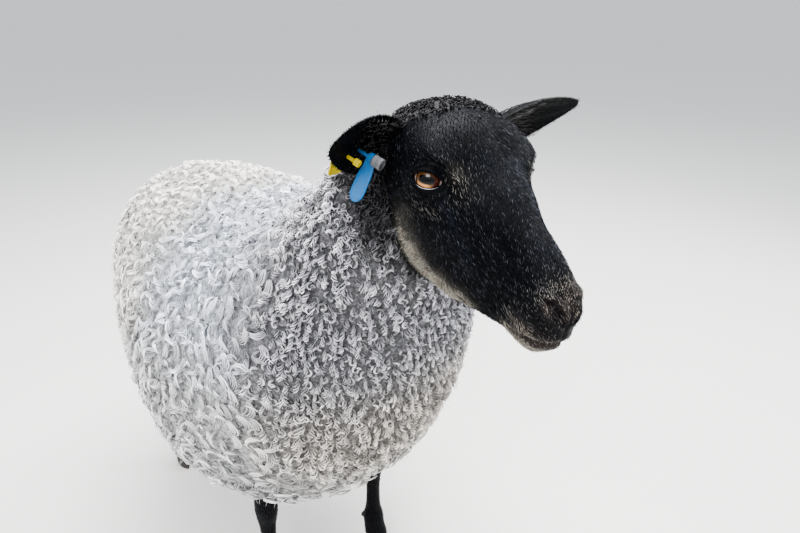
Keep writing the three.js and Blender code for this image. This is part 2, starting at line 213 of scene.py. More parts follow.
def trunkPoint(s, angle, inset=0.0):
    # a tilted superellipse section: along its top-to-bottom line by the sine, across by the cosine
    row = smoothTable(bodyShape["trunk"], s)
    topX, topZ, lowX, lowZ, width, roundness, sag = np.moveaxis(row, -1, 0)
    halfX, halfZ = (topX - lowX) / 2, (topZ - lowZ) / 2
    reach = np.hypot(halfX, halfZ)
    along = signedPower(np.sin(angle), 2 / roundness)
    along = (along - sag * (1 - along**2)) * (1 - inset / reach)
    y = (width - inset) * signedPower(np.cos(angle), 2 / roundness)
    return parted(np.stack([(topX + lowX) / 2 + halfX * along, y, (topZ + lowZ) / 2 + halfZ * along], -1))


headTableS = np.linspace(0, 14, 1401)
headTableX = smoothTable(headShape["sections"], headTableS)[:, 0]


def headSection(x):
    # the head's section sizes at a place along it
    return smoothTable(headShape["sections"], np.interp(x, headTableX, headTableS))


def headPoint(x, angle, inset=0.0):
    # a superellipse with its own roundness above and below the widest level
    row = headSection(x)
    top, low, width, level, above, below = [row[..., k] for k in range(1, 7)]
    up = np.sin(angle) >= 0
    roundness = np.where(up, above, below)
    reach = np.where(up, top - level, level - low) - inset
    z = level + reach * signedPower(np.sin(angle), 2 / roundness)
    return np.stack([x + 0 * z, (width - inset) * signedPower(np.cos(angle), 2 / roundness), z], -1)


def insideHead(p, grow=0.0):
    # below 1 inside the head grown by "grow", for points in the head's own frame
    x = np.clip(p[:, 0], headBack, headTip)
    row = headSection(x)
    up = p[:, 2] > row[:, 4]
    reach = np.where(up, row[:, 1] - row[:, 4], row[:, 4] - row[:, 2]) + grow
    roundness = np.where(up, row[:, 5], row[:, 6])
    value = (np.abs(p[:, 1] / (row[:, 3] + grow)) ** roundness
             + np.abs((p[:, 2] - row[:, 4]) / reach) ** roundness)
    beyond = (p[:, 0] < headBack - grow) | (p[:, 0] > headTip + grow)
    return np.where(beyond, 9.0, value)


def earAxes(ear):
    # along the ear, out of its cup, and across it
    along = unit(np.array(ear["along"], float))
    opens = np.array(ear["opens"], float)
    opens = unit(opens - along * (opens @ along))
    return along, opens, np.cross(along, opens) * np.sign(ear["root"][1])


def earThickness(t):
    # thins evenly to the tip and closes there
    return (2.9 - 1.6 * np.maximum(t, 0)) * np.sqrt(np.maximum(1 - t**6, 0.1))


def earPoint(ear, t, u, depth):
    # a cupped leaf: t runs to the tip, u across on an arc that narrows to the tip, depth out of the cup
    along, opens, across = earAxes(ear)
    s = np.maximum(t, 0)
    w = ear["width"] * (0.5 + 0.62 * np.sin(np.pi * s**0.8) ** 0.8) * np.sqrt(np.maximum(1 - s**5, 0.012))
    cup = w * (0.95 - 0.6 * t)
    angle = u * (1.5 - 0.7 * t)
    side = w * np.sin(angle) / np.sin(np.maximum(1.5 - 0.7 * t, 0.8))
    out = cup * (1 - np.cos(angle)) - cup * 0.55 + depth
    place = np.array(ear["root"], float) + along * (ear["length"] * t)[..., None]
    return place + across * side[..., None] + opens * out[..., None]


def ovalPoint(table, z, angle, footX, footY, inset=0.0):
    # an upright oval column: half lengths by height, its middle set off along the body
    table = np.asarray(table, float)
    s = np.interp(z, table[:, 0], np.arange(len(table)))
    row = smoothTable(table, s)
    x = footX + row[..., 1] + (row[..., 2] - inset) * np.cos(angle)
    y = footY + (row[..., 3] - inset) * np.sin(angle)
    return np.stack([x, y, z + 0 * angle], -1)


def footPlace(kind, side):
    # where a foot stands: the left one of each pair is set off along the body
    x, y, ahead = legShape[kind + "Feet"]
    return x + (ahead if side > 0 else 0), side * y


def columnMiddle(pointAt):
    # halfway between two opposite places of a column's section
    return lambda z: (pointAt(z, 0 * z) + pointAt(z, 0 * z + np.pi)) / 2


# meshes from arrays
def storeOnPoints(mesh, colour=None, comb=None):
    # each point's colour and its place in the pattern, for the materials
    if colour is not None:
        rows = np.asarray(colour, float).reshape(-1, 3)
        rows = np.concatenate([rows, np.ones((len(rows), 1))], 1)
        mesh.attributes.new("coatColour", "FLOAT_COLOR", "POINT").data.foreach_set("color", rows.ravel())
    if comb is not None:
        rows = np.asarray(comb, float).ravel()
        mesh.attributes.new("combed", "FLOAT_VECTOR", "POINT").data.foreach_set("vector", rows)


def readPoints(mesh):
    points = np.empty(len(mesh.vertices) * 3)
    mesh.vertices.foreach_get("co", points)
    return points.reshape(-1, 3)


def newMesh(name, points, faces, colour=None, comb=None, bake=None):
    # points are millimetres in the sheep's frame; faces all have the same number of corners
    points = (np.asarray(points, float).reshape(-1, 3) - [bodyShape["centreX"], 0, 0]) / 1000
    faces = np.asarray(faces)
    mesh = bpy.data.meshes.new(name)
    mesh.vertices.add(len(points))
    mesh.vertices.foreach_set("co", points.ravel())
    mesh.loops.add(faces.size)
    mesh.loops.foreach_set("vertex_index", faces.ravel().astype(np.int32))
    mesh.polygons.add(len(faces))
    mesh.polygons.foreach_set("loop_start", np.arange(0, faces.size, faces.shape[1], dtype=np.int32))
    mesh.polygons.foreach_set("use_smooth", np.ones(len(faces), bool))
    mesh.update(calc_edges=True)
    storeOnPoints(mesh, colour, comb)
    if bake is not None:
        layer = mesh.uv_layers.new(name="OFBake")
        layer.uv.foreach_set("vector", np.asarray(bake, float).reshape(-1, 2)[faces.ravel()].ravel())
    piece = bpy.data.objects.new(name, mesh)
    bpy.context.scene.collection.objects.link(piece)
    return piece


def finishPiece(piece, material, node=None):
    # its material, the body it rides on, and the node it stands for, which is hidden
    piece.data.materials.append(material)
    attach(piece, "root")
    if node:
        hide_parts(node)


def gridFaces(rows, columns, closed=True):
    # triangles of a grid that runs round, one row of points after the other
    i, j = np.meshgrid(np.arange(rows - 1), np.arange(columns if closed else columns - 1), indexing="ij")
    a, b = i * columns + j, i * columns + (j + 1) % columns
    c, d = a + columns, b + columns
    return np.concatenate([np.stack([a, b, d], -1).reshape(-1, 3), np.stack([a, d, c], -1).reshape(-1, 3)])


def closedLoft(rings):
    # rings (rows, columns, 3) with a pole at each end; faces are turned outward by the sign of the volume
    rows, columns = rings.shape[:2]
    points = np.concatenate([rings.reshape(-1, 3), rings[:1].mean(1), rings[-1:].mean(1)])
    k = np.arange(columns)
    first, last = rows * columns, rows * columns + 1
    base = (rows - 1) * columns
    faces = np.concatenate([gridFaces(rows, columns),
                            np.stack([(k + 1) % columns, k, np.full(columns, first)], -1),
                            np.stack([base + k, base + (k + 1) % columns, np.full(columns, last)], -1)])
    a, b, c = points[faces[:, 0]], points[faces[:, 1]], points[faces[:, 2]]
    if (a * np.cross(b, c)).sum() < 0:
        faces = faces[:, ::-1]
    return points, faces


def gridNormals(points):
    # normals of a grid (rows, columns, 3) that runs round, by differences; turned away from each row's middle
    down = np.gradient(points, axis=0)
    side = (np.roll(points, -1, 1) - np.roll(points, 1, 1)) / 2
    normal = unit(np.cross(down, side))
    away = points - points.mean(1, keepdims=True)
    return normal * np.sign((normal * away).sum(-1).mean())


# colours of the coat, for skin and coat alike; the face's black is tinted blue, a painted blue-grey sheen
coatColours = {"cream": "#f8f4ec", "silver": "#e6e5e6", "blueGrey": "#d3dcec", "grey": "#c3c0c5",
               "charcoal": "#1d1b1f", "beige": "#e6dccf", "faceBlack": "#040508", "faceBrown": "#564a46",
               "facePale": "#a39c90", "legBlack": "#0c0c0e"}
tint = {name: linearHex(code) for name, code in coatColours.items()}
# the pale band down the cheek and along the jaw, x and z in the head's frame
jawBand = {"path": [[72, -34], [76, -56], [82, -74], [94, -88], [120, -88], [150, -84]], "width": 15}


def blend(a, b, weight):
    return a + (b - a) * np.asarray(weight)[..., None]


def fleeceColour(p):
    # cream on the rump, silver on the sides, grey on the neck, near black round the head, beige on the chest
    q = bodyToHead(p)
    patches = softNoise(p, 130, 3)
    forward = smoothStep(-60, 130, p[..., 0] - 0.35 * (p[..., 2] - 560) + 60 * patches)
    colour = blend(tint["cream"], tint["silver"], forward)
    colour = blend(colour, tint["blueGrey"],
                   0.6 * smoothStep(60, 160, p[..., 0]) * smoothStep(520, 640, p[..., 2]))
    neck = smoothStep(290, 470, p[..., 0] + 0.42 * (p[..., 2] - 600) + 34 * patches)
    colour = blend(colour, tint["grey"], neck * 0.85)
    colour = blend(colour, tint["beige"],
                   0.75 * smoothStep(330, 460, p[..., 0]) * smoothStep(620, 470, p[..., 2]))
    near = np.linalg.norm((q - [22, 0, -18]) / [98, 98, 112], axis=-1)
    colour = blend(colour, tint["charcoal"], 0.92 * smoothStep(1.13, 0.84, near + 0.08 * softNoise(p, 40, 5)))
    # the wool darkens down the hind legs to the black hair over the hocks
    stocking = smoothStep(316, 264, p[..., 2] + 22 * softNoise(p, 14, 71)) * smoothStep(-140, -240, p[..., 0])
    return blend(colour, tint["legBlack"], 0.96 * stocking)


def faceColour(q):
    # black, with a pale band along the jaw, faint brown on nose and lips, a paler chin; q in the head's frame
    side = np.abs(q[..., 1])
    # the black's faint blue tint is a painted blue-grey sheen
    colour = np.broadcast_to(tint["faceBlack"], q.shape).copy()
    flat = np.stack([q[..., 0], q[..., 2]], -1)
    away, along = pathDistance(flat.reshape(-1, 2), jawBand["path"])
    jaw = (bell(away, jawBand["width"]) * (0.15 + 0.85 * smoothStep(0.02, 0.42, along))
           * (1 - 0.55 * smoothStep(0.6, 1, along)))
    jaw = jaw.reshape(side.shape) * smoothStep(8, 18, side)
    colour = blend(colour, tint["facePale"], 0.85 * jaw * (0.7 + 0.3 * softNoise(q, 14, 8)))
    nose = smoothStep(221, 240, q[..., 0]) * smoothStep(-24, -8, q[..., 2])
    colour = blend(colour, tint["faceBrown"], 0.2 * nose * (0.75 + 0.5 * softNoise(q, 12, 12)))
    lips = smoothStep(200, 225, q[..., 0]) * bell(q[..., 2] + 44, 11)
    colour = blend(colour, tint["faceBrown"], 0.3 * lips)
    chin = smoothStep(186, 206, q[..., 0]) * smoothStep(-47, -56, q[..., 2])
    colour = blend(colour, tint["facePale"], 0.16 * chin)
    brow = smoothStep(1, 0.3, np.linalg.norm((mirrored(q) - [104, 42, 33]) / [12, 14, 12], axis=-1))
    return blend(colour, tint["facePale"], 0.04 * brow)


# the head, sculpted
headSculpt = {
    # middle (x, distance from the midline, z), spread along each, and height; all mirrored
    "forms": [[80, 50, 36, 22, 16, 10, 5.0], [62, 56, 26, 11, 10, 9, -1.5], [36, 52, -58, 34, 20, 30, 3.2],
              [106, 47, -6, 13, 12, 10, -3.5], [128, 40, -52, 22, 14, 16, -3.0], [168, 24, 2, 24, 9, 9, -2.4],
              [156, 13, 34, 34, 7, 9, 1.6], [92, 0, 62, 24, 12, 12, -2.0], [232, 17, 2, 9, 7, 6, 1.6],
              [228, 20, -22, 14, 8, 11, 1.8], [150, 0, -90, 40, 9, 10, -3.5],
              [196, 22, -34, 14, 10, 10, -1.4], [60, 60, -6, 12, 10, 12, -2.2], [226, 0, -64, 12, 12, 8, 1.8],
              [206, 10, 22, 16, 6, 6, 0.9]],
    # ridges and grooves: points, width and height
    "lines": [[[[96, 54, -6], [124, 44, -20], [152, 33, -30], [176, 27, -36]], 7, 2.6],
              [[[104, 49, 14], [118, 43, 2], [134, 37, -12], [152, 31, -20]], 2.4, 1.1],
              [[[103, 49, 17], [110, 45, 10], [116, 43, 2]], 2.6, -2.0],
              [[[66, 52, 52], [84, 50, 52], [102, 40, 46]], 3.0, 1.2],
              [[[188, 23, -54], [181, 24, -64], [172, 25, -72]], 4, -1.6],
              [[[184, 24, -42], [176, 25, -52], [168, 25, -62]], 3.5, 1.0]],
    "mouth": [[180, -46], [189.4, -49.7], [202.4, -56.1], [215, -52.6], [228.3, -46.3], [238, -42.6],
              [242.8, -41.1], [247, -39.2], [252, -39]],
    "nostril": [[226, 21, -2.5], [232, 19, -2.5], [238, 15, -5], [243, 9.5, -9], [245, 5.5, -14]],
}


def pathDistance(p, path):
    # distance from each point to a bent line, and how far along it the nearest place is, 0 to 1
    path = np.asarray(path, float)
    best = np.full(len(p), 1e9)
    where = np.zeros(len(p))
    for k in range(len(path) - 1):
        edge = path[k + 1] - path[k]
        f = np.clip((p - path[k]) @ edge / (edge @ edge), 0, 1)
        d = np.linalg.norm(p - path[k] - f[:, None] * edge, axis=1)
        where = np.where(d < best, (k + f) / (len(path) - 1), where)
        best = np.minimum(d, best)
    return best, where


def sculptFace(p, normal):
    # bell-shaped swellings and hollows, ridges along lines, the mouth's groove, nostrils and middle furrow
    q = mirrored(p)
    height = np.zeros(len(p))
    for x, y, z, rx, ry, rz, amount in headSculpt["forms"]:
        height += (amount * np.exp(-((q[:, 0] - x) / rx) ** 2 - ((q[:, 1] - y) / ry) ** 2
                                   - ((q[:, 2] - z) / rz) ** 2))
    for path, width, amount in headSculpt["lines"]:
        far, along = pathDistance(q, path)
        height += amount * bell(far, width) * np.sin(np.pi * np.clip(along, 0.08, 0.92)) ** 0.5
    mouth = np.array(headSculpt["mouth"], float)
    above = (q[:, 2] - np.interp(q[:, 0], mouth[:, 0], mouth[:, 1])) * 0.92
    live = smoothStep(184, 192, q[:, 0])
    height += live * (1.7 * bell(above - 6, 4.2) + 1.4 * bell(above + 5.5, 3.6))
    height -= live * 3.4 * bell(above, 1.5)
    far, along = pathDistance(q, headSculpt["nostril"])
    wide = 2.6 * (0.55 + 0.75 * np.sin(np.pi * np.clip(along, 0.02, 0.9)))
    height += 1.9 * bell(far - wide - 2.6, 2.4) - 6.5 * bell(far, wide, 4)
    furrow = smoothStep(236, 243, q[:, 0]) * smoothStep(-38, -33, q[:, 2]) * smoothStep(-4, -14, q[:, 2])
    height -= 1.7 * furrow * bell(q[:, 1], 1.5)
    return p + normal * height[:, None]


lids = {
    # the opening, from the eye's middle
    "outer": -14.4, "inner": 14.2, "upper": 6.6, "lower": 7.2, "midLevel": -0.9,
    "upperThick": 2.7, "lowerThick": 1.7, "reach": [19, 15], "edge": 1.8, "ballReach": 12.2,
    # creases: distance from the opening's edge, width and height
    "upperCreases": [[4.6, 0.9, -1.5], [7.2, 1.6, 0.9], [10, 1.1, -0.9]],
    "lowerCreases": [[4.2, 0.9, -0.9], [6.0, 1.2, 0.5], [8.4, 1.1, -0.6]],
}


def eyeAxes(side):
    # the eye's middle, its gaze, the way to its inner corner, and up
    looks = unit(np.array(eyeShape["looks"], float) * [1, side, 1])
    corner = np.array(eyeShape["corner"], float) * [1, side, 1]
    corner = unit(corner - looks * (corner @ looks))
    up = np.cross(corner, looks) * -side
    up = up * np.sign(up[2])
    return np.array(eyeShape["centre"], float) * [1, side, 1], looks, corner, up


lidMiddle, lidHalf = (lids["outer"] + lids["inner"]) / 2, (lids["inner"] - lids["outer"]) / 2


def openingEdge(a):
    # upper and lower edge of the eye's opening at a place across it: flattened arcs that meet at the corners
    across = np.clip((a - lidMiddle) / lidHalf, -1, 1)
    upper = (lids["midLevel"] + 0.8 * across
             + (lids["upper"] + 0.9) * np.clip(1 - np.abs(across + 0.06) ** 2.3, 0, 1) ** 0.9)
    lower = (lids["midLevel"] + 0.8 * across
             - (lids["lower"] - 0.9) * np.clip(1 - np.abs(across) ** 2.2, 0, 1) ** 0.85)
    return upper, lower


def shapeLids(p, side):
    # eyelids as a height over the eye's plane: a shell round the ball, cut by the opening, melted in
    centre, looks, corner, up = eyeAxes(side)
    rel = p - centre
    a, b, c = rel @ corner, rel @ up, rel @ looks
    rho = np.sqrt((a / lids["reach"][0]) ** 2 + ((b - 0.5) / lids["reach"][1]) ** 2)
    near = (rho < 1.9) & (c > 0)
    upper, lower = openingEdge(a)
    fromUpper, fromLower = b - upper, lower - b
    isUpper = fromUpper > fromLower
    gap = np.maximum(fromUpper, fromLower)
    squeeze = np.where(np.abs(gap) < 2.4, gap * np.abs(gap) / 2.4, gap)  # draws points onto the lids' edges
    b = np.where(near & (np.abs(a) < 15), np.where(isUpper, upper + squeeze, lower - squeeze), b)
    beyond = np.maximum(np.abs(a - lidMiddle) - lidHalf, 0)
    gap = np.where(beyond > 0, np.hypot(np.maximum(squeeze, 0), beyond), squeeze)
    thick = np.where(isUpper, lids["upperThick"], lids["lowerThick"])
    edge = np.sqrt(np.clip(1 - (1 - np.clip(gap / lids["edge"], 0, 1)) ** 2, 0, 1))
    shell = eyeShape["radius"] + 0.3 + thick * edge
    flat = np.hypot(a, b)
    limit = lids["ballReach"]
    drop = (np.sqrt(np.maximum(shell**2 - np.minimum(flat, limit) ** 2, 9))
            - 0.55 * np.maximum(flat - limit, 0))
    around = c - 6.0 * np.exp(-(((a - 15) / 8) ** 2 + (b / 7) ** 2)) - 1.2 * bell(rho - 1.12, 0.22)
    height = drop + (around - drop) * smoothStep(0.72, 1.5, rho)
    creases = [sum(rise * bell(gap - at, width) for at, width, rise in lids[name])
               for name in ("upperCreases", "lowerCreases")]
    height += np.where(isUpper, *creases) * smoothStep(18, 9, np.abs(a + 1))
    tear = smoothStep(10.2, 12.2, a)  # the tear corner is shallow, the rest drops behind the ball
    height += np.where(gap < 0, np.maximum(6 * gap, 4.0 * tear - 5), 0)
    moved = centre + a[:, None] * corner + b[:, None] * up + height[:, None] * looks
    return np.where(near[:, None], moved, p)


def unevenSteps(spans):
    # places along an axis: each span is (from, to, step)
    return np.concatenate([np.arange(a, b - step * 0.3, step) for a, b, step in spans])


# rows and columns stand closer together round the eyes, the nose and the mouth
headRowsX = unevenSteps([(headBack, -8, 4), (-8, 56, 2.6), (56, 114, 0.85), (114, 192, 2.2),
                         (192, headTip, 0.9)])
dense = np.linspace(-0.5 * np.pi, 1.5 * np.pi, 4001)
density = 1 + 1.7 * bell(dense - 0.17, 0.42, 4) + 1.7 * bell(dense - np.pi + 0.17, 0.42, 4)
density = np.cumsum(density) / density.sum()
headAngles = np.interp(np.linspace(0, 1, 257)[:-1], density, dense)
gridX, gridA = np.meshgrid(headRowsX, headAngles, indexing="ij")
pollInset = 5.5 * smoothStep(18, 4, gridX) * smoothStep(-0.3, 0.5, np.sin(gridA))
headGrid = headPoint(gridX, gridA, headShape["inset"] + pollInset)
tip = headGrid[-1:]
tipCentre = tip.mean(1, keepdims=True) + [1.9, 0, 0]
noseRings = [tipCentre + (tip - tipCentre) * [near, wide, wide] for near,
             wide in [(0.55, 0.8), (0.2, 0.5), (0.04, 0.2)]]
headGrid = np.concatenate([headGrid] + noseRings)
headRows, headColumns = headGrid.shape[:2]
headFlat = sculptFace(headGrid.reshape(-1, 3), gridNormals(headGrid).reshape(-1, 3))
for side in (-1, 1):
    headFlat = shapeLids(headFlat, side)
headGrid = headFlat.reshape(headRows, headColumns, 3)
print("head sculpted:", headGrid.shape)


# one skin
def makeSkin():
    # closed lofts of trunk, head, ears, legs and tail, under the solids by the coat's depth, joined into one
    parts = []
    s = np.concatenate([np.linspace(0.12, 1, 8)[:-1], np.linspace(1, 14, 78)])
    gs, ga = np.meshgrid(s, roundSteps(96), indexing="ij")
    depth = np.interp(gs, np.arange(15), bodyShape["coatDepth"])
    body = trunkPoint(gs, ga, depth)
    body[..., 0] += 9 * smoothStep(1.5, 0, gs)
    parts.append(closedLoft(body))
    parts.append(closedLoft(headToBody(headGrid)))
    for name in ("right", "left"):
        t = np.concatenate([np.linspace(-0.12, 0.9, 40)[:-1], np.linspace(0.9, 0.985, 8)])
        gt, gp = np.meshgrid(t, halfSteps(44), indexing="ij")
        u = np.cos(gp) * 0.985
        # two ribs inside the cup
        fold = 0.9 * bell(np.abs(u) - 0.34, 0.1) * np.sin(np.pi * np.clip(gt, 0, 1)) * (np.sin(gp) > 0)
        parts.append(closedLoft(headToBody(earPoint(earShape[name], gt, u,
                                                    earThickness(gt) * np.sin(gp) + fold))))
    for kind in ("fore", "hind"):
        table = np.array(legShape[kind], float)
        z = np.linspace(38, table[-1, 0] - 4, 70)
        for side in (-1, 1):
            gz, ga = np.meshgrid(z, roundSteps(32), indexing="ij")
            leg = ovalPoint(table, gz, ga, *footPlace(kind, side), legShape["inset"])
            # the joint's bone, and the tendon behind the cannon
            fromBack = np.pi - np.abs(np.arctan2(np.sin(ga), np.cos(ga)))
            leg[..., 0] += 1.6 * bell(gz - legShape[kind + "Joint"], 13) * np.cos(ga)
            leg[..., 0] -= 1.4 * bell(gz - 150, 34) * bell(fromBack, 0.6)
            parts.append(closedLoft(leg))
    z = np.linspace(416, 588, 30)
    gz, ga = np.meshgrid(z, roundSteps(28), indexing="ij")
    parts.append(closedLoft(ovalPoint(tailShape, gz, ga, 0, 0, 8)))
    objects = [newMesh("skinPart%d" % k, points, faces) for k, (points, faces) in enumerate(parts)]
    skin = objects[0]
    for other in objects[1:]:
        join = skin.modifiers.new("join", "BOOLEAN")
        join.operation, join.solver, join.object = "UNION", "MANIFOLD", other
    bpy.context.view_layer.update()
    mesh = bpy.data.meshes.new_from_object(skin.evaluated_get(bpy.context.evaluated_depsgraph_get()))
    for item in objects:
        bpy.data.objects.remove(item, do_unlink=True)
    return mesh


def faceEdge(q):
    # how far back the face's short hair begins, by height, in the head's frame
    return np.interp(q[..., 2], [-110, -100, -68, -30, 0, 20, 42, 52, 62],
                     [60, 60, 62, 47, 32, 22, 32, 42, 50])


def smoothNear(mesh, weight, rounds):
    # moves points towards the middle of their neighbours, as much as the weight says
    points = readPoints(mesh)
    edges = np.empty(len(mesh.edges) * 2, dtype=np.int32)
    mesh.edges.foreach_get("vertices", edges)
    a, b = edges.reshape(-1, 2).T
    count = np.bincount(a, minlength=len(points)) + np.bincount(b, minlength=len(points))
    for _ in range(rounds):
        total = [np.bincount(a, points[b, k], len(points)) + np.bincount(b, points[a, k], len(points))
                 for k in range(3)]
        total = np.stack(total, -1)
        points = points + weight[:, None] * (total / np.maximum(count, 1)[:, None] - points)
    mesh.vertices.foreach_set("co", points.ravel())
    mesh.update()


skinMesh = makeSkin()
points = readPoints(skinMesh) * 1000 + [bodyShape["centreX"], 0, 0]
inHead = bodyToHead(points)
# the skin is smoothed where each ear grows out of the head
rootNear = np.zeros(len(points))
for ear in earShape.values():
    along = earAxes(ear)[0]
    far = np.linalg.norm(inHead - np.array(ear["root"]) - along * 14, axis=1)
    rootNear = np.maximum(rootNear, 0.5 * smoothStep(44, 26, far))
smoothNear(skinMesh, rootNear, 10)

# what each place of the skin wears: its colour, and coordinates that stretch a pattern along the hair's lie
headX, headSide, headZ = inHead[:, 0], np.abs(inHead[:, 1]), inHead[:, 2]
isHead = insideHead(inHead, 2.5) < 1
isHead |= (insideHead(inHead, 9) < 1) & (headZ > -40) & (headX > 60)
isHead |= (headX > 100) & (points[:, 2] > 700)
isHead |= (headSide > 58) & (headX > -40) & (headZ > -30) & (points[:, 2] > 800)
isHead &= headX > np.where(headSide > 60, -42, faceEdge(inHead) - 6)
isLeg = (points[:, 2] < 262) & ~isHead
# the skin under the wool takes the fleece's colour darkened, slightly on the body and deeply on the neck:
# painted shade in the gaps between the locks
wool = fleeceColour(points) * (0.8 - 0.5 * smoothStep(340, 450, points[:, 0]))[:, None]
skinColour = np.where(isHead[:, None], faceColour(inHead), np.where(isLeg[:, None], tint["legBlack"], wool))
combed = np.where(isLeg[:, None], points * [1, 1, 1 / 7], points * 0.5)
combed = np.where(isHead[:, None], inHead * [1 / 7, 1, 1], combed)
storeOnPoints(skinMesh, skinColour, combed)
skinMesh.polygons.foreach_set("use_smooth", np.ones(len(skinMesh.polygons), bool))
skinMesh.materials.clear()
# faces under the wool take the second material
starts, corners = np.empty(len(skinMesh.polygons), np.int32), np.empty(len(skinMesh.loops), np.int32)
skinMesh.polygons.foreach_get("loop_start", starts)
skinMesh.loops.foreach_get("vertex_index", corners)
underWoolFace = np.minimum.reduceat((~isHead & ~isLeg)[corners].astype(np.int32), starts)
skin = bpy.data.objects.new("skin", skinMesh)
bpy.context.scene.collection.objects.link(skin)
print("skin:", len(skinMesh.vertices), "points,", len(skinMesh.loops) - 2 * len(skinMesh.polygons),
      "triangles")


# eyes
eyeLook = {
    # the cornea's rise, the iris, and the pupil's half lengths
    "cornea": 1.5, "irisRadius": 11.0, "pupil": [7.2, 3.7],
    "amber": "#c48d55", "brown": "#170a05", "red": "#3a140a", "rim": "#1c0f0a", "pupilColour": "#040406",
           "white": "#a08a84",
}


def makeEye(side):
    # a ball about its gaze: radius by the angle from the gaze, with the cornea's bulge in front
    centre, looks, corner, up = eyeAxes(side)
    polar = np.concatenate([np.linspace(0.02, 0.95, 44), np.linspace(1.0, math.pi - 0.05, 26)])
    gp, ga = np.meshgrid(polar, roundSteps(72), indexing="ij")
    radius = eyeShape["radius"] - 0.12 + eyeLook["cornea"] * bell(gp, 0.52, 4) * 0.55
    a, b = np.sin(gp) * np.cos(ga), np.sin(gp) * np.sin(ga)
    rings = (centre + radius[..., None]
             * (a[..., None] * corner + b[..., None] * up + np.cos(gp)[..., None] * looks))
    points, faces = closedLoft(headToBody(rings))
    size = eyeShape["radius"]
    own = np.stack([a * size, b * size, np.cos(gp) * size], -1).reshape(-1, 3)
    own = np.concatenate([own, [[0, 0, size], [0, 0, -size]]])
    return newMesh("eyeBall" + sideName(side), points, faces, comb=own)


def newMaterial(name, sockets):
    # a surface under its own name, with its constant sockets set
    material = bpy.data.materials.new(name)
    material.use_nodes = True
    shader = material.node_tree.nodes["Principled BSDF"]
    for socket, value in sockets.items():
        shader.inputs[socket].default_value = value
    return material, material.node_tree, shader


def eyeMaterial():
    # a wet eye: a clear cornea over an amber iris and a long level pupil, sharp lights over a deep colour
    material, tree, shader = newMaterial("eyeUnderWetCornea", {
        "Roughness": 0.12, "Specular IOR Level": 0.2, "IOR": 1.376, "Coat Weight": 0.42,
                                                               "Coat Roughness": 0.02})
    radius = eyeLook["irisRadius"]
    place = addNode(tree, "ShaderNodeAttribute", attribute_name="combed")
    parts = addNode(tree, "ShaderNodeSeparateXYZ", links={"Vector": (place, "Vector")})
    flatPlace = addNode(tree, "ShaderNodeVectorMath", {1: (1, 1, 0)}, {0: (place, "Vector")},
                        operation="MULTIPLY")
    length = addNode(tree, "ShaderNodeVectorMath", None, {0: (flatPlace, "Vector")}, operation="LENGTH")
    rays = addNode(tree, "ShaderNodeTexNoise", {"Scale": 0.9, "Detail": 3.0, "Roughness": 0.7},
                   {"Vector": (place, "Vector")})
    # iris: lighter low down and at its rim's inside, darker above, as light falls through the cornea
    low = addNode(tree, "ShaderNodeMapRange",
                  {"From Min": -3.0, "From Max": -5.8, "To Min": 0.0, "To Max": 1.0}, {"Value": (parts, "Y")})
    wobble = addNode(tree, "ShaderNodeMath", {1: 0.24}, {0: (rays, "Fac")}, operation="MULTIPLY")
    lit = addNode(tree, "ShaderNodeMath", None, {0: (low, "Result"), 1: (wobble, "Value")}, operation="ADD",
                  use_clamp=True)
    iris = addNode(tree, "ShaderNodeMix", {6: rgba(eyeLook["brown"]), 7: rgba(eyeLook["amber"])},
                   {0: (lit, "Value")}, data_type="RGBA")
    # towards the nose the iris turns dark red-brown, and its rim is dark
    innerSide = addNode(tree, "ShaderNodeMapRange", {"From Min": 2.0, "From Max": 7.0},
                        {"Value": (parts, "X")})
    red = addNode(tree, "ShaderNodeMix", {7: rgba(eyeLook["red"])}, {6: (iris, 2), 0: (innerSide, "Result")},
                  data_type="RGBA")
    rim = addNode(tree, "ShaderNodeMapRange", {"From Min": radius - 1.6, "From Max": radius - 0.2},
                  {"Value": (length, "Value")})
    dark = addNode(tree, "ShaderNodeMix", {7: rgba(eyeLook["rim"])}, {6: (red, 2), 0: (rim, "Result")},
                   data_type="RGBA")
    outer = addNode(tree, "ShaderNodeMapRange", {"From Min": radius - 0.1, "From Max": radius + 0.8},
                    {"Value": (length, "Value")})
    white = addNode(tree, "ShaderNodeMix", {7: rgba(eyeLook["white"])}, {6: (dark, 2), 0: (outer, "Result")},
                    data_type="RGBA")
    # pupil: a level oval, the sum of the cubes of its place over its own half lengths
    share = (1 / eyeLook["pupil"][0], 1 / eyeLook["pupil"][1], 0)
    squash = addNode(tree, "ShaderNodeVectorMath", {1: share}, {0: (place, "Vector")}, operation="MULTIPLY")
    fold = addNode(tree, "ShaderNodeVectorMath", None, {0: (squash, "Vector")}, operation="ABSOLUTE")
    folded = addNode(tree, "ShaderNodeSeparateXYZ", links={"Vector": (fold, "Vector")})
    px = addNode(tree, "ShaderNodeMath", {1: 3.0}, {0: (folded, "X")}, operation="POWER")
    py = addNode(tree, "ShaderNodeMath", {1: 3.0}, {0: (folded, "Y")}, operation="POWER")
    both = addNode(tree, "ShaderNodeMath", None, {0: (px, "Value"), 1: (py, "Value")}, operation="ADD")
    inPupil = addNode(tree, "ShaderNodeMapRange",
                      {"From Min": 0.8, "From Max": 1.15, "To Min": 1.0, "To Max": 0.0},
                      {"Value": (both, "Value")})
    final = addNode(tree, "ShaderNodeMix", {7: rgba(eyeLook["pupilColour"])},
                    {6: (white, 2), 0: (inPupil, "Result")}, data_type="RGBA")
    tree.links.new(final.outputs[2], shader.inputs["Base Color"])
    return material


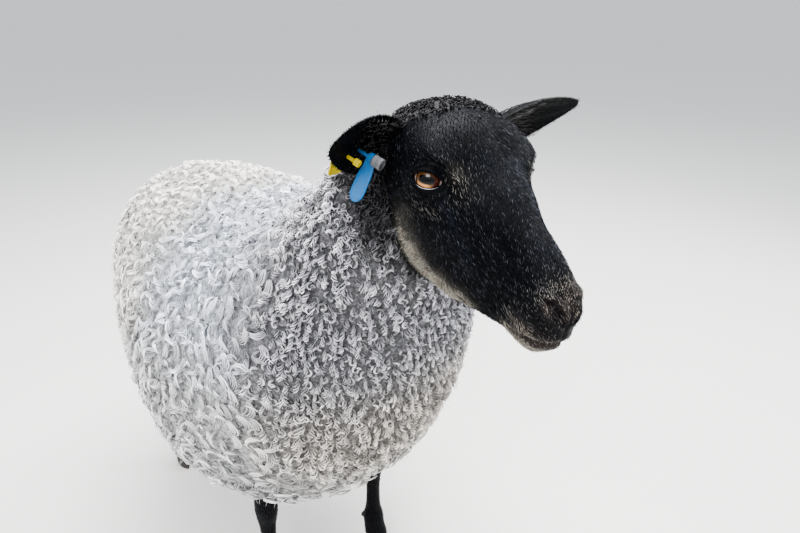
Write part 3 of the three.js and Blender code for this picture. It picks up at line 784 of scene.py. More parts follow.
# materials of skin and coat
def shortHairMaterial():
    # short flat hair over dark skin: fine strokes along the hair's lie, with a faint blue-grey gloss
    material, tree, shader = newMaterial("shortGlossyHairOverSkin", {
        "Roughness": 0.48, "Specular IOR Level": 0.07, "Sheen Weight": 0.015, "Sheen Tint": rgba("#b8c4e0")})
    colour = addNode(tree, "ShaderNodeAttribute", attribute_name="coatColour")
    place = addNode(tree, "ShaderNodeAttribute", attribute_name="combed")
    # 0.9 mm strokes: drawn a little coarser than real hair so that they show
    strokes = addNode(tree, "ShaderNodeTexNoise",
                      {"Scale": 1.1, "Detail": 2.0, "Roughness": 0.6, "Distortion": 0.35},
                      {"Vector": (place, "Vector")})
    patches = addNode(tree, "ShaderNodeTexNoise", {"Scale": 0.09, "Detail": 2.0},
                      {"Vector": (place, "Vector")})
    bright = addNode(tree, "ShaderNodeMapRange",
                     {"From Min": 0.54, "From Max": 0.78, "To Min": 0.0, "To Max": 0.10},
                     {"Value": (strokes, "Fac")})
    amount = addNode(tree, "ShaderNodeMath", None, {0: (bright, "Result"), 1: (patches, "Fac")},
                     operation="MULTIPLY")
    mixed = addNode(tree, "ShaderNodeMix", {7: rgba("#9a9ba6")}, {6: (colour, "Color"), 0: (amount, "Value")},
                    data_type="RGBA")
    tree.links.new(mixed.outputs[2], shader.inputs["Base Color"])
    bump = addNode(tree, "ShaderNodeBump", {"Strength": 0.35, "Distance": 0.0006},
                   {"Height": (strokes, "Fac")})
    tree.links.new(bump.outputs["Normal"], shader.inputs["Normal"])
    return material


def undercoatMaterial():
    # dense soft wool close to the skin: small curly clumps, with painted shade darkening the clefts between
    # them
    material, tree, shader = newMaterial("denseUndercoatWool",
                                         {"Roughness": 0.9, "Specular IOR Level": 0.1, "Sheen Weight": 0.2})
    colour = addNode(tree, "ShaderNodeAttribute", attribute_name="coatColour")
    place = addNode(tree, "ShaderNodeTexCoord")
    # clumps 5 mm across, wavy fibres 1.2 mm across
    wander = addNode(tree, "ShaderNodeTexNoise", {"Scale": 140.0, "Detail": 1.0},
                     {"Vector": (place, "Object")})
    moved = addNode(tree, "ShaderNodeVectorMath", {"Scale": 0.006}, {0: (wander, "Color")}, operation="SCALE")
    at = addNode(tree, "ShaderNodeVectorMath", None, {0: (place, "Object"), 1: (moved, "Vector")},
                 operation="ADD")
    clumps = addNode(tree, "ShaderNodeTexVoronoi", {"Scale": 190.0}, {"Vector": (at, "Vector")})
    fibres = addNode(tree, "ShaderNodeTexNoise", {"Scale": 800.0, "Detail": 2.0, "Distortion": 1.6},
                     {"Vector": (at, "Vector")})
    # painted shade: darker towards each clump's edge, in the clefts
    cleftPaintedShade = addNode(tree, "ShaderNodeMapRange",
                    {"From Min": 0.15, "From Max": 0.75, "To Min": 1.15, "To Max": 0.35},
                    {"Value": (clumps, "Distance")})
    fine = addNode(tree, "ShaderNodeMapRange",
                   {"From Min": 0.3, "From Max": 0.7, "To Min": 0.65, "To Max": 1.2},
                   {"Value": (fibres, "Fac")})
    both = addNode(tree, "ShaderNodeMath", None, {0: (cleftPaintedShade, "Result"), 1: (fine, "Result")},
                   operation="MULTIPLY")
    shaded = addNode(tree, "ShaderNodeVectorMath", None, {0: (colour, "Color"), "Scale": (both, "Value")},
                     operation="SCALE")
    tree.links.new(shaded.outputs["Vector"], shader.inputs["Base Color"])
    bump = addNode(tree, "ShaderNodeBump", {"Strength": 0.7, "Distance": 0.003}, {"Height": (both, "Value")})
    tree.links.new(bump.outputs["Normal"], shader.inputs["Normal"])
    return material


def coatMaterial(name, roughness, sheen, streaks, shine=0.35):
    # fleece or hair in locks: the colour stored on each lock, broken by fine streaks along its fibres
    material, tree, shader = newMaterial(name,
                                         {"Roughness": roughness, "Specular IOR Level": shine,
                                          "Sheen Weight": sheen})
    colour = addNode(tree, "ShaderNodeAttribute", attribute_name="coatColour")
    fibre = addNode(tree, "ShaderNodeAttribute", attribute_name="combed")
    # about four fibres' shades over a lock's width, drawn out along it
    along = addNode(tree, "ShaderNodeVectorMath", {1: (streaks, 0.6, 3.7)}, {0: (fibre, "Vector")},
                    operation="MULTIPLY")
    grain = addNode(tree, "ShaderNodeTexNoise", {"Scale": 1.6, "Detail": 2.0, "Roughness": 0.6},
                    {"Vector": (along, "Vector")})
    shade = addNode(tree, "ShaderNodeMapRange",
                    {"From Min": 0.3, "From Max": 0.7, "To Min": 0.62, "To Max": 1.28},
                    {"Value": (grain, "Fac")})
    scaled = addNode(tree, "ShaderNodeVectorMath", None, {0: (colour, "Color"), "Scale": (shade, "Result")},
                     operation="SCALE")
    tree.links.new(scaled.outputs["Vector"], shader.inputs["Base Color"])
    return material


# the scene round it
stageLook = {
    "floor": "#d9d8d4", "floorSize": 400, "sky": "#e6ebf2", "skyStrength": 1.15,
    # name, place, aim, power and size, in metres and watts
    "lights": [("keyLight", (1.3, -1.9, 2.3), (0.15, 0, 0.6), 76, 1.4),
               ("skyLight", (-0.25, 0.35, 2.9), (0, 0, 0.4), 225, 2.4),
               ("rimLight", (0.6, 2.2, 1.7), (0.3, 0, 0.8), 30, 1.2)],
    "cameraAt": (0.80065, -0.409, 1.0), "cameraTilt": 23.8, "cameraTurn": 38, "lens": 28, "sensor": 36,
}


def makeStage():
    # a wide matt floor, an even sky and three soft lamps
    bpy.ops.mesh.primitive_plane_add(size=stageLook["floorSize"])
    floor = bpy.context.object
    floor.name = "floor"
    floor.data.materials.append(newMaterial("paleStudioFloor",
                                            {"Base Color": rgba(stageLook["floor"]), "Roughness": 0.85})[0])
    world = bpy.data.worlds.new("softSky")
    bpy.context.scene.world = world
    world.use_nodes = True
    world.node_tree.nodes["Background"].inputs["Color"].default_value = rgba(stageLook["sky"])
    world.node_tree.nodes["Background"].inputs["Strength"].default_value = stageLook["skyStrength"]
    bpy.context.scene.view_settings.look = "AgX - Medium High Contrast"
    for name, place, aim, power, size in stageLook["lights"]:
        light = bpy.data.lights.new(name, "AREA")
        light.energy, light.size = power, size
        lamp = bpy.data.objects.new(name, light)
        lamp.location = place
        lamp.rotation_euler = (Vector(aim) - Vector(place)).to_track_quat("-Z", "Y").to_euler()
        bpy.context.scene.collection.objects.link(lamp)


def makeCamera():
    # a wide lens close to the animal's right shoulder, looking down on it
    data = bpy.data.cameras.new("camera")
    data.sensor_width, data.lens = stageLook["sensor"], stageLook["lens"]
    camera = bpy.data.objects.new("camera", data)
    tilt, turn = math.radians(stageLook["cameraTilt"]), math.radians(stageLook["cameraTurn"])
    ahead = Vector((-math.cos(turn) * math.cos(tilt), math.sin(turn) * math.cos(tilt), -math.sin(tilt)))
    camera.location = stageLook["cameraAt"]
    camera.rotation_euler = ahead.to_track_quat("-Z", "Y").to_euler()
    bpy.context.scene.collection.objects.link(camera)
    bpy.context.scene.camera = camera


makeCamera()
makeStage()
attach(skin, "root")
legNodes = [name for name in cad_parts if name.startswith("leg_")]
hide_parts("trunk", "neck", "tail", "head", "ear_right", "ear_left", *legNodes)
skin.data.materials.append(shortHairMaterial())
skin.data.materials.append(undercoatMaterial())
skin.data.polygons.foreach_set("material_index", underWoolFace)
eyeFinish = eyeMaterial()
for side, node in ((-1, "eye_right"), (1, "eye_left")):
    finishPiece(makeEye(side), eyeFinish, node)
print("skin and eyes finished")


# tags in the right ear
tagLook = {
    "blueStud": [0.44, 0.25], "yellowStud": [0.62, 0.4],  # places in the ear, along and across
    "blue": "#0c5c92", "yellow": "#b8a51c", "grey": "#5d5e61",
    # distance down from the stud, and half width
    "blueOutline": [[-4.9, 1.0], [-4.4, 2.6], [-3, 4.4], [0, 5.3], [6, 5.0], [14, 6.3], [30, 6.9], [36, 6.6],
                    [40, 4.6], [42, 1.2]],
    "yellowOutline": [[-5.4, 1.0], [-4.8, 2.8], [-3, 4.8], [0, 6.0], [8, 7.2], [24, 7.4], [28, 6.8],
                      [30, 5.6]],
    "blueFace": [0.78, -0.35, 0.5], "thickness": 1.8,  # which way the blue panel looks, in the head's frame
    # turned pieces: radius, and distance along the stud
    "collar": [[1.9, 15.6], [4.6, 15.7], [4.9, 16.0], [4.9, 16.5], [4.3, 16.7], [4.3, 17.1], [5.2, 17.3],
               [5.2, 17.9], [4.6, 18.1], [4.6, 18.6], [5.3, 18.8], [5.3, 19.5], [4.7, 19.7], [4.7, 20.3],
               [1.9, 20.5]],
    "button": [[1.2, 20.95], [4.9, 20.95], [5.5, 21.2], [5.6, 21.7], [5.6, 25.0], [5.5, 25.1], [5.2, 25.5],
               [5.2, 26.3], [5.5, 26.7], [5.6, 26.9], [5.6, 30.0], [5.4, 30.6], [5.0, 30.85], [3.7, 30.85],
               [3.4, 30.6], [3.3, 30.2], [3.2, 28.4], [3.0, 28.2], [1.0, 28.2]],
    "pin": [[1.0, 10.45], [2.9, 10.5], [3.3, 10.8], [3.4, 11.2], [3.4, 13.0], [3.2, 13.2], [3.2, 13.7],
            [3.4, 13.9], [3.4, 15.7], [3.2, 16.2], [2.7, 16.35], [0.8, 16.35]],
}


def merged(parts):
    # several closed shapes as one list of points and faces
    shift = np.cumsum([0] + [len(points) for points, _ in parts[:-1]])
    faces = np.concatenate([faces + k for (_, faces), k in zip(parts, shift)])
    return np.concatenate([points for points, _ in parts]), faces


def spun(profile, axis, origin, sides=32):
    # a turned shape; the profile is radius and distance along the axis
    profile = np.array(profile, float)
    wide = unit(np.cross(axis, [0.3, 0.2, 1.0]))
    turn = halfSteps(sides)
    ring = np.cos(turn)[:, None] * wide + np.sin(turn)[:, None] * np.cross(axis, wide)
    return closedLoft(origin + profile[:, 1, None, None] * axis + profile[:, 0, None, None] * ring)


def stud(start, end, radius):
    # a round bar with its two ends rounded off
    return [[radius * 0.6, start], [radius, start + 0.3], [radius, end - 0.3], [radius * 0.6, end]]


def tagPlate(outline, origin, face, spin, twist, bow):
    # a soft plate hung from its stud: rounded rectangle sections, a raised edge, a little twist and bow
    face = unit(face)
    up = unit(np.array([0, 0, 1.0]) - face * face[2])
    wide = np.cross(up, face)
    up, wide = up * np.cos(spin) - wide * np.sin(spin), wide * np.cos(spin) + up * np.sin(spin)
    outline = np.array(outline, float)
    down = np.concatenate([np.linspace(outline[0, 0], 0, 14)[:-1], np.linspace(0, outline[-1, 0], 50)])
    half = np.interp(down, outline[:, 0], outline[:, 1])[:, None, None]
    turn = halfSteps(40)
    across, deep = signedPower(np.cos(turn), 0.55)[None, :,
                                                   None], signedPower(np.sin(turn), 0.3)[None, :, None]
    share = np.clip(down / outline[-1, 0], 0, 1)
    angle = (twist * share**1.4)[:, None, None]
    side = np.cos(angle) * wide + np.sin(angle) * face
    out = np.cross(side, up) * np.sign(np.cross(wide, up) @ face)
    thick = tagLook["thickness"] / 2 * (0.72 + 0.5 * smoothStep(0.72, 0.86, np.abs(across)))
    rings = (origin - up * down[:, None, None] + face * (bow * share**2)[:, None, None] + side * half * across
             + out * thick * deep)
    return closedLoft(rings)


def tagPlastic(name, colour):
    # soft moulded plastic, scuffed and dusty after a season outdoors
    material, tree, shader = newMaterial(name, {
        "Roughness": 0.5, "Specular IOR Level": 0.3, "Subsurface Weight": 0.08, "Subsurface Scale": 0.002})
    place = addNode(tree, "ShaderNodeTexCoord")
    # dirt in 3 mm patches, scratches under 1 mm
    dirt = addNode(tree, "ShaderNodeTexNoise", {"Scale": 260.0, "Detail": 4.0, "Roughness": 0.65},
                   {"Vector": (place, "Object")})
    amount = addNode(tree, "ShaderNodeMapRange",
                     {"From Min": 0.52, "From Max": 0.75, "To Min": 0.0, "To Max": 0.55},
                     {"Value": (dirt, "Fac")})
    mixed = addNode(tree, "ShaderNodeMix", {6: rgba(colour), 7: rgba("#4a4438")}, {0: (amount, "Result")},
                    data_type="RGBA")
    tree.links.new(mixed.outputs[2], shader.inputs["Base Color"])
    scuffs = addNode(tree, "ShaderNodeTexNoise", {"Scale": 900.0, "Detail": 2.0},
                     {"Vector": (place, "Object")})
    bump = addNode(tree, "ShaderNodeBump", {"Strength": 0.25, "Distance": 0.0004},
                   {"Height": (scuffs, "Fac")})
    tree.links.new(bump.outputs["Normal"], shader.inputs["Normal"])
    return material


def put(name, parts, material, node=None):
    # several closed shapes as one piece
    points, faces = merged(parts)
    finishPiece(newMesh(name, points, faces), material, node)


rightEar = earShape["right"]
opensOut = earAxes(rightEar)[1] @ headAxes
blueStud, yellowStud = (headToBody(earPoint(rightEar, *np.array(tagLook[name]), 0.0))
                        for name in ("blueStud", "yellowStud"))
blueFace = np.array(tagLook["blueFace"]) @ headAxes
bluePlastic, yellowPlastic, greyPlastic = (tagPlastic("softTagPlastic" + name, tagLook[name.lower()])
                                           for name in ("Blue", "Yellow", "Grey"))
put("tagBlueFlag", [tagPlate(tagLook["blueOutline"], blueStud + opensOut * 18.5, blueFace, -0.46, 0.5, 2.0),
                    spun(tagLook["collar"], opensOut, blueStud),
                    spun(stud(-7.4, 20.6, 1.8), opensOut, blueStud)], bluePlastic,
    "tag_blue_panel")
put("tagGreyButton", [spun(tagLook["button"], opensOut, blueStud)], greyPlastic,
    "tag_grey_button")
put("tagYellowFlag", [tagPlate(tagLook["yellowOutline"], yellowStud - opensOut * 9, opensOut, 0.3, 0.35,
                               -1.5),
                      spun(stud(-9.9, 9.9, 1.8), opensOut, yellowStud)], yellowPlastic,
    "tag_yellow_panel")
put("tagYellowPin", [spun(tagLook["pin"], opensOut, yellowStud)], yellowPlastic,
    "tag_yellow_pin")
print("tags in the right ear")


# claws
clawLook = {
    "horn": "#1d1917", "worn": "#5a5048", "bands": 0.22, "toe": 0.42,
    # dew claws: radius and distance along each, and where it stands from the foot's middle
    "dew": [[2.2, -4.0], [4.4, -2.5], [4.9, 0.0], [4.6, 3.0], [3.4, 6.0], [1.4, 7.8]],
            "dewAt": [-29.5, 9.0, 80.0],
}


def hoofHorn():
    # dark hoof horn: fine level growth bands, dull and dusty near the ground
    material, tree, shader = newMaterial("wornHoofHorn", {"Roughness": 0.5})
    place = addNode(tree, "ShaderNodeTexCoord")
    parts = addNode(tree, "ShaderNodeSeparateXYZ", links={"Vector": (place, "Object")})
    flat = addNode(tree, "ShaderNodeVectorMath", {1: (30, 30, 700)}, {0: (place, "Object")},
                   operation="MULTIPLY")
    bands = addNode(tree, "ShaderNodeTexNoise", {"Scale": 1.0, "Detail": 3.0}, {"Vector": (flat, "Vector")})
    specks = addNode(tree, "ShaderNodeTexNoise", {"Scale": 240.0, "Detail": 4.0},
                     {"Vector": (place, "Object")})
    low = addNode(tree, "ShaderNodeMapRange",
                  {"From Min": 0.022, "From Max": 0.0, "To Min": 0.05, "To Max": 0.75},
                  {"Value": (parts, "Z")})
    amount = addNode(tree, "ShaderNodeMath", None, {0: (low, "Result"), 1: (specks, "Fac")},
                     operation="MULTIPLY")
    mixed = addNode(tree, "ShaderNodeMix", {6: rgba(clawLook["horn"]), 7: rgba(clawLook["worn"])},
                    {0: (amount, "Value")}, data_type="RGBA")
    tree.links.new(mixed.outputs[2], shader.inputs["Base Color"])
    bump = addNode(tree, "ShaderNodeBump", {"Strength": 0.5, "Distance": 0.0006}, {"Height": (bands, "Fac")})
    tree.links.new(bump.outputs["Normal"], shader.inputs["Normal"])
    return material


def clawShape(footX, footY, inward):
    # a claw: pointed at the toe, flat towards its fellow, rounded at the sole's edge and the coronet
    z = np.concatenate([[0.0, 0.25, 0.8, 1.8], np.linspace(3.0, 35.2, 38), [36.2, 36.8, 37.1]])
    size = np.concatenate([[0.93, 0.96, 0.985, 0.995], np.ones(38), [0.985, 0.95, 0.88]])
    gz, ga = np.meshgrid(z, halfSteps(40), indexing="ij")
    point = ovalPoint(legShape["claw"], gz, ga, 0, 0)
    table = np.array(legShape["claw"], float)
    middle = smoothTable(table, np.interp(z, table[:, 0], np.arange(len(table))))[:, 1, None]
    scale = size[:, None] * (1 + clawLook["bands"] / 20 * np.sin(gz * 2.6 + 0.6 * np.sin(ga)))
    x = middle + (point[..., 0] - middle) * scale
    y = (point[..., 1] * scale * (1
                                  - clawLook["toe"] * smoothStep(0.25, 1.0, np.cos(ga))
                                  * smoothStep(37, 12, gz)))
    y = np.where(y * inward > 0, y * 0.9, y)
    return closedLoft(np.stack([footX + x, footY + y, gz], -1))


horn = hoofHorn()
nubs = []
for kind in ("fore", "hind"):
    for side in (-1, 1):
        x, y = footPlace(kind, side)
        for clawName, way in (("inner", -side), ("outer", side)):
            node = "claw_%s_%s_%s" % (kind, sideName(side).lower(), clawName)
            shape = clawShape(x, y + way * legShape["clawSpread"], -way)
            put("claw" + kind.title() + sideName(side) + clawName.title(), [shape], horn, node)
        for way in (-1, 1):
            # the small dew claws behind the fetlock
            direction = unit(np.array([-0.55, 0.15 * way, -0.83]))
            behind, apart, up = clawLook["dewAt"]
            nubs.append(spun(clawLook["dew"], direction, np.array([x + behind, y + apart * way, up]), 20))
put("dewClaws", nubs, horn)
print("claws")


# lid rims and lashes
lidLook = {
    "rim": "#b4aeb6", "rimRadius": 0.5, "rimLift": 1.9, "rimRings": 30,
    "lash": "#0b0a0b", "lashes": 54, "lashLength": 6.5, "lashRadius": 0.2, "lashLift": 1.6,
}


def lidEdgePath(side, count, lift, low):
    # along an edge of the eye's opening, lifted off the ball
    centre, looks, corner, up = eyeAxes(side)
    a = np.linspace(lids["outer"] + 0.5, lids["inner"] - 0.2, count)
    b = openingEdge(a)[1 if low else 0] - (0.9 if low else -0.4)
    c = np.sqrt(np.maximum(eyeShape["radius"] ** 2 - a**2 - b**2, 30)) + lift
    place = centre + a[:, None] * corner + b[:, None] * up + c[:, None] * looks
    return headToBody(place), [v @ headAxes for v in (looks, corner, up)]


def wetSkin():
    # the wet edge of the lower lid: smooth, almost mirror-like
    material, tree, shader = newMaterial("wetLidMembrane", {"Roughness": 0.18})
    colour = addNode(tree, "ShaderNodeAttribute", attribute_name="coatColour")
    tree.links.new(colour.outputs["Color"], shader.inputs["Base Color"])
    return material


wetMembrane = wetSkin()


# strands: every lock and hair is a thin closed tube of three sides, pointed at both ends
bakePatch = 0.0015  # half the width of a strand's patch in the bake map, at its root's place


def strandMesh(name, paths, facing, radius, colour, bakeAt, flat=0.55):
    # paths (strands, rings, 3); the section is three points round the path, flattened along "facing"
    strands, rings = paths.shape[:2]
    run = unit(np.gradient(paths, axis=1))
    wide = unit(np.cross(run, facing))
    facing = np.cross(wide, run)
    turn = np.array([0.5, 0.5 + 2 / 3, 0.5 + 4 / 3]) * np.pi
    middle = slice(1, rings - 1)
    ring = (paths[:, middle, None]
            + radius[:, middle, None, None] * (np.cos(turn)[:, None] * wide[:, middle, None]
            + flat * np.sin(turn)[:, None] * facing[:, middle, None]))
    inner = (rings - 2) * 3
    points = np.concatenate([ring.reshape(strands, inner, 3), paths[:, :1], paths[:, -1:]], 1)
    shade = np.concatenate([np.repeat(colour[:, middle], 3, axis=1), colour[:, :1], colour[:, -1:]], 1)
    spot = np.stack([np.tile([0.0, -1.0, 1.0], rings - 2), np.repeat(np.linspace(-1, 1, rings)[1:-1], 3)], -1)
    spot = np.concatenate([spot, [[0, -1], [0, 1]]])
    bake = bakeAt[:, None] + spot * bakePatch
    own = np.broadcast_to(np.arange(strands)[:, None] % 97, (strands, inner + 2))
    fibre = np.stack([np.broadcast_to(spot[:, 0], own.shape), np.broadcast_to(spot[:, 1], own.shape), own],
                     -1)
    k = np.arange(3)
    one = [np.stack([np.full(3, inner), (k + 1) % 3, k], -1),
           np.stack([np.full(3, inner + 1), inner - 3 + k, inner - 3 + (k + 1) % 3], -1)]
    if rings > 3:
        one.append(gridFaces(rings - 2, 3)[:, ::-1])
    one = np.concatenate(one)
    sample = points[0]
    a, b, c = (sample[one[:, i]] - sample.mean(0) for i in range(3))
    if (a * np.cross(b, c)).sum() < 0:
        one = one[:, ::-1]
    faces = (one[None] + (np.arange(strands) * (inner + 2))[:, None, None]).reshape(-1, 3)
    return newMesh(name, points.reshape(-1, 3), faces, colour=shade.reshape(-1, 3), comb=fibre.reshape(-1, 3),
                   bake=bake.reshape(-1, 2))


def scatter(pointAt, uSpan, vSpan, density, cells=(150, 180), shift=0.5):
    # roots spread over a surface by its area and wanted density, from a sequence that keeps them evenly apart
    gu = np.linspace(*uSpan, cells[0] + 1)
    gv = np.linspace(*vSpan, cells[1] + 1)
    mu, mv = np.meshgrid((gu[1:] + gu[:-1]) / 2, (gv[1:] + gv[:-1]) / 2, indexing="ij")
    du, dv = (gu[1] - gu[0]) / 2, (gv[1] - gv[0]) / 2
    sides = pointAt(mu + du, mv) - pointAt(mu - du, mv), pointAt(mu, mv + dv) - pointAt(mu, mv - dv)
    area = np.linalg.norm(np.cross(*sides), axis=-1)
    share = area * density(pointAt(mu, mv), mu, mv)
    count = int(share.sum())
    rowSum = np.concatenate([[0], np.cumsum(share.sum(1))]) / max(share.sum(), 1e-9)
    i = np.arange(count)
    # steps of the plastic number's powers fill the square without clumps
    first, second = (shift + i * 0.7548776662466927) % 1, (shift + i * 0.5698402909980532) % 1
    u = np.interp(first, rowSum, gu)
    row = np.clip(np.searchsorted(rowSum, first) - 1, 0, cells[0] - 1)
    across = np.concatenate([np.zeros((cells[0], 1)), np.cumsum(share, 1)], 1)
    across /= np.maximum(across[:, -1:], 1e-9)
    column = np.clip((across[row] < second[:, None]).sum(1) - 1, 0, cells[1] - 1)
    low, high = across[row, column], across[row, column + 1]
    v = gv[column] + (gv[1] - gv[0]) * np.clip((second - low) / np.maximum(high - low, 1e-9), 0, 1)
    return u, v


def faceNormal(pointAt, u, v, du, dv):
    # square to small steps each way over the face
    return unit(np.cross(pointAt(u + du, v) - pointAt(u - du, v), pointAt(u, v + dv) - pointAt(u, v - dv)))


def surfaceNormal(pointAt, u, v, du, dv, middle):
    # turned away from the middle of its section
    normal = faceNormal(pointAt, u, v, du, dv)
    return normal * np.sign((normal * (pointAt(u, v) - middle)).sum(-1, keepdims=True))


def evenly(spacing):
    # the same density everywhere, one root for each square of this side
    return lambda p, u, v: np.full(u.shape, 1 / spacing**2)


def nearest(points, others, many=2):
    # distances to, and the first of, the nearest other points, in slices so that the table stays small
    far, first = [], []
    for rows in np.array_split(np.arange(len(points)), max(1, len(points) * len(others) // 4000000)):
        d = ((points[rows, None] - others[None]) ** 2).sum(-1)
        first.append(d.argmin(1))
        far.append(np.sqrt(np.partition(d, many - 1, axis=1)[:, :many]))
    return np.concatenate(far), np.concatenate(first)


def overSurface(pointAt, middleAt, u, v, lie, length, rings, uLimits, du, dv):
    # walks over a face from each root, the lie split along its two directions; gives places and normals
    pu = (pointAt(u + du, v) - pointAt(u - du, v)) / (2 * du)
    pv = (pointAt(u, v + dv) - pointAt(u, v - dv)) / (2 * dv)
    a, b, c = (pu * pu).sum(-1), (pu * pv).sum(-1), (pv * pv).sum(-1)
    d, e = (pu * lie).sum(-1), (pv * lie).sum(-1)
    det = np.maximum(a * c - b * b, 1e-9)
    t = np.linspace(0, 1, rings)
    t = (t * (1.25 - 0.25 * t))[None]  # slower towards the tip, which lets the curl close
    gu = np.clip(u[:, None] + ((c * d - b * e) / det * length)[:, None] * t, *uLimits)
    gv = v[:, None] + np.clip((a * e - b * d) / det * length, -1.2, 1.2)[:, None] * t
    return pointAt(gu, gv), surfaceNormal(pointAt, gu, gv, du, dv, middleAt(gu))


def windLocks(base, outward, lie, depth, curl, turns, lean, phase, hand, rise, pressed, hook):
    # a lock rises from the skin to the coat's face and winds round its lie in a widening coil,
    # "pressed" flat to the coat and closing into a hook by "hook", the power of its winding
    t = np.linspace(0, 1, base.shape[1])[None, :]
    column = lambda value: np.asarray(value)[:, None]
    lie = laidFlat(lie[:, None], outward)
    axis = unit(lie * np.cos(lean)[:, None, None] + outward * np.sin(lean)[:, None, None])
    first = unit(np.cross(outward, lie))
    second = np.cross(axis, first)
    height = -column(depth) * (1 - t) ** column(rise) - column(0.7 * curl * pressed * np.cos(lean) + 0.9)
    wind = column(phase) + column(hand) * 2 * np.pi * column(turns) * t ** column(hook)
    reach = column(curl) * (0.2 + 0.8 * smoothStep(0, 0.5, t)) * (1 - 0.28 * t**3)
    radial = np.cos(wind)[..., None] * first + (np.sin(wind) * column(pressed))[..., None] * second
    return base + outward * height[..., None] + radial * reach[..., None], unit(radial + outward * 0.6)


fleeceLook = {
    # between the roots of neighbouring locks, in mm
    "ropeSpacing": 7.5, "chestSpacing": 9.0, "bodySpacing": 17.6, "bellySpacing": 23, "fuzzSpacing": 29,
    "ropeCurl": 2.15, "chestCurl": 3.0, "ringCurl": 2.6, "shoulderCurl": 8.5, "flankCurl": 6.5,
    "backCurl": 4.6,
}
lockLook = {
    # strands in a lock and rings along it, how far apart the tufts are, how the lie wanders, widths, and
    # painted shade and light: darker roots, lighter tips, darker borders, lit outer arcs
    "fleeceRopes": {"strands": 3, "rings": 11, "tuft": 19, "seed": 10, "wander": 0.12, "gap": 0.0,
                    "width": 1.05, "rootPaintedShade": 0.30, "tipPaintedLight": 0.62, "borderSunk": 4.6, "borderPaintedShade": 0.5,
                    "spread": 0.26, "shade": [0.42, 0.9]},
    "fleeceLocks": {"strands": 4, "rings": 10, "tuft": 40, "seed": 9, "wander": 0.3, "gap": 1.9,
                    "width": 1.35, "rootPaintedShade": 0.62, "tipPaintedLight": 0.12, "borderSunk": 3.2, "borderPaintedShade": 0.22,
                    "spread": 0.17, "shade": [0.7, 0.4]},
}


def neckShare(p):
    # 1 on the neck and throat, where the wool is in tight ringlets, 0 on the body
    return smoothStep(385, 450, p[..., 0] + 22 * softNoise(p, 90, 21))


def coatDensity(p, s, angle):
    # closest on the neck, wider on the chest and body, widest under the belly
    rope, chest, body, belly = (fleeceLook[name + "Spacing"] for name in ("rope", "chest", "body", "belly"))
    neck = neckShare(p)
    low = smoothStep(600, 480, p[..., 2])
    spacing = body + (belly - body) * smoothStep(-0.55, -0.9, np.sin(angle)) * (1 - neck)
    spacing = spacing + (rope + (chest - rope) * low - spacing) * neck
    return 1 / spacing**2


def trunkMiddle(s):
    # halfway between a section's top and bottom
    return (trunkPoint(s, np.full_like(s, np.pi / 2)) + trunkPoint(s, np.full_like(s, -np.pi / 2))) / 2


def tuftsOf(root, spacing, seed):
    # each root's tuft, the nearest of seeds about "spacing" apart, and its share of the way in from the
    # border
    source = np.random.default_rng(seed)
    order = source.permutation(len(root))
    seeds = root[order[:max(4, len(root) // 2)]]
    cell = np.floor(seeds / (spacing * 0.86)).astype(np.int64)
    _, keep = np.unique(cell @ np.array([1, 4001, 16008001]), return_index=True)
    seeds = seeds[keep]
    far, tuft = nearest(root, seeds)
    return tuft, seeds, np.clip((far[:, 1] - far[:, 0]) / (0.5 * spacing), 0, 1)


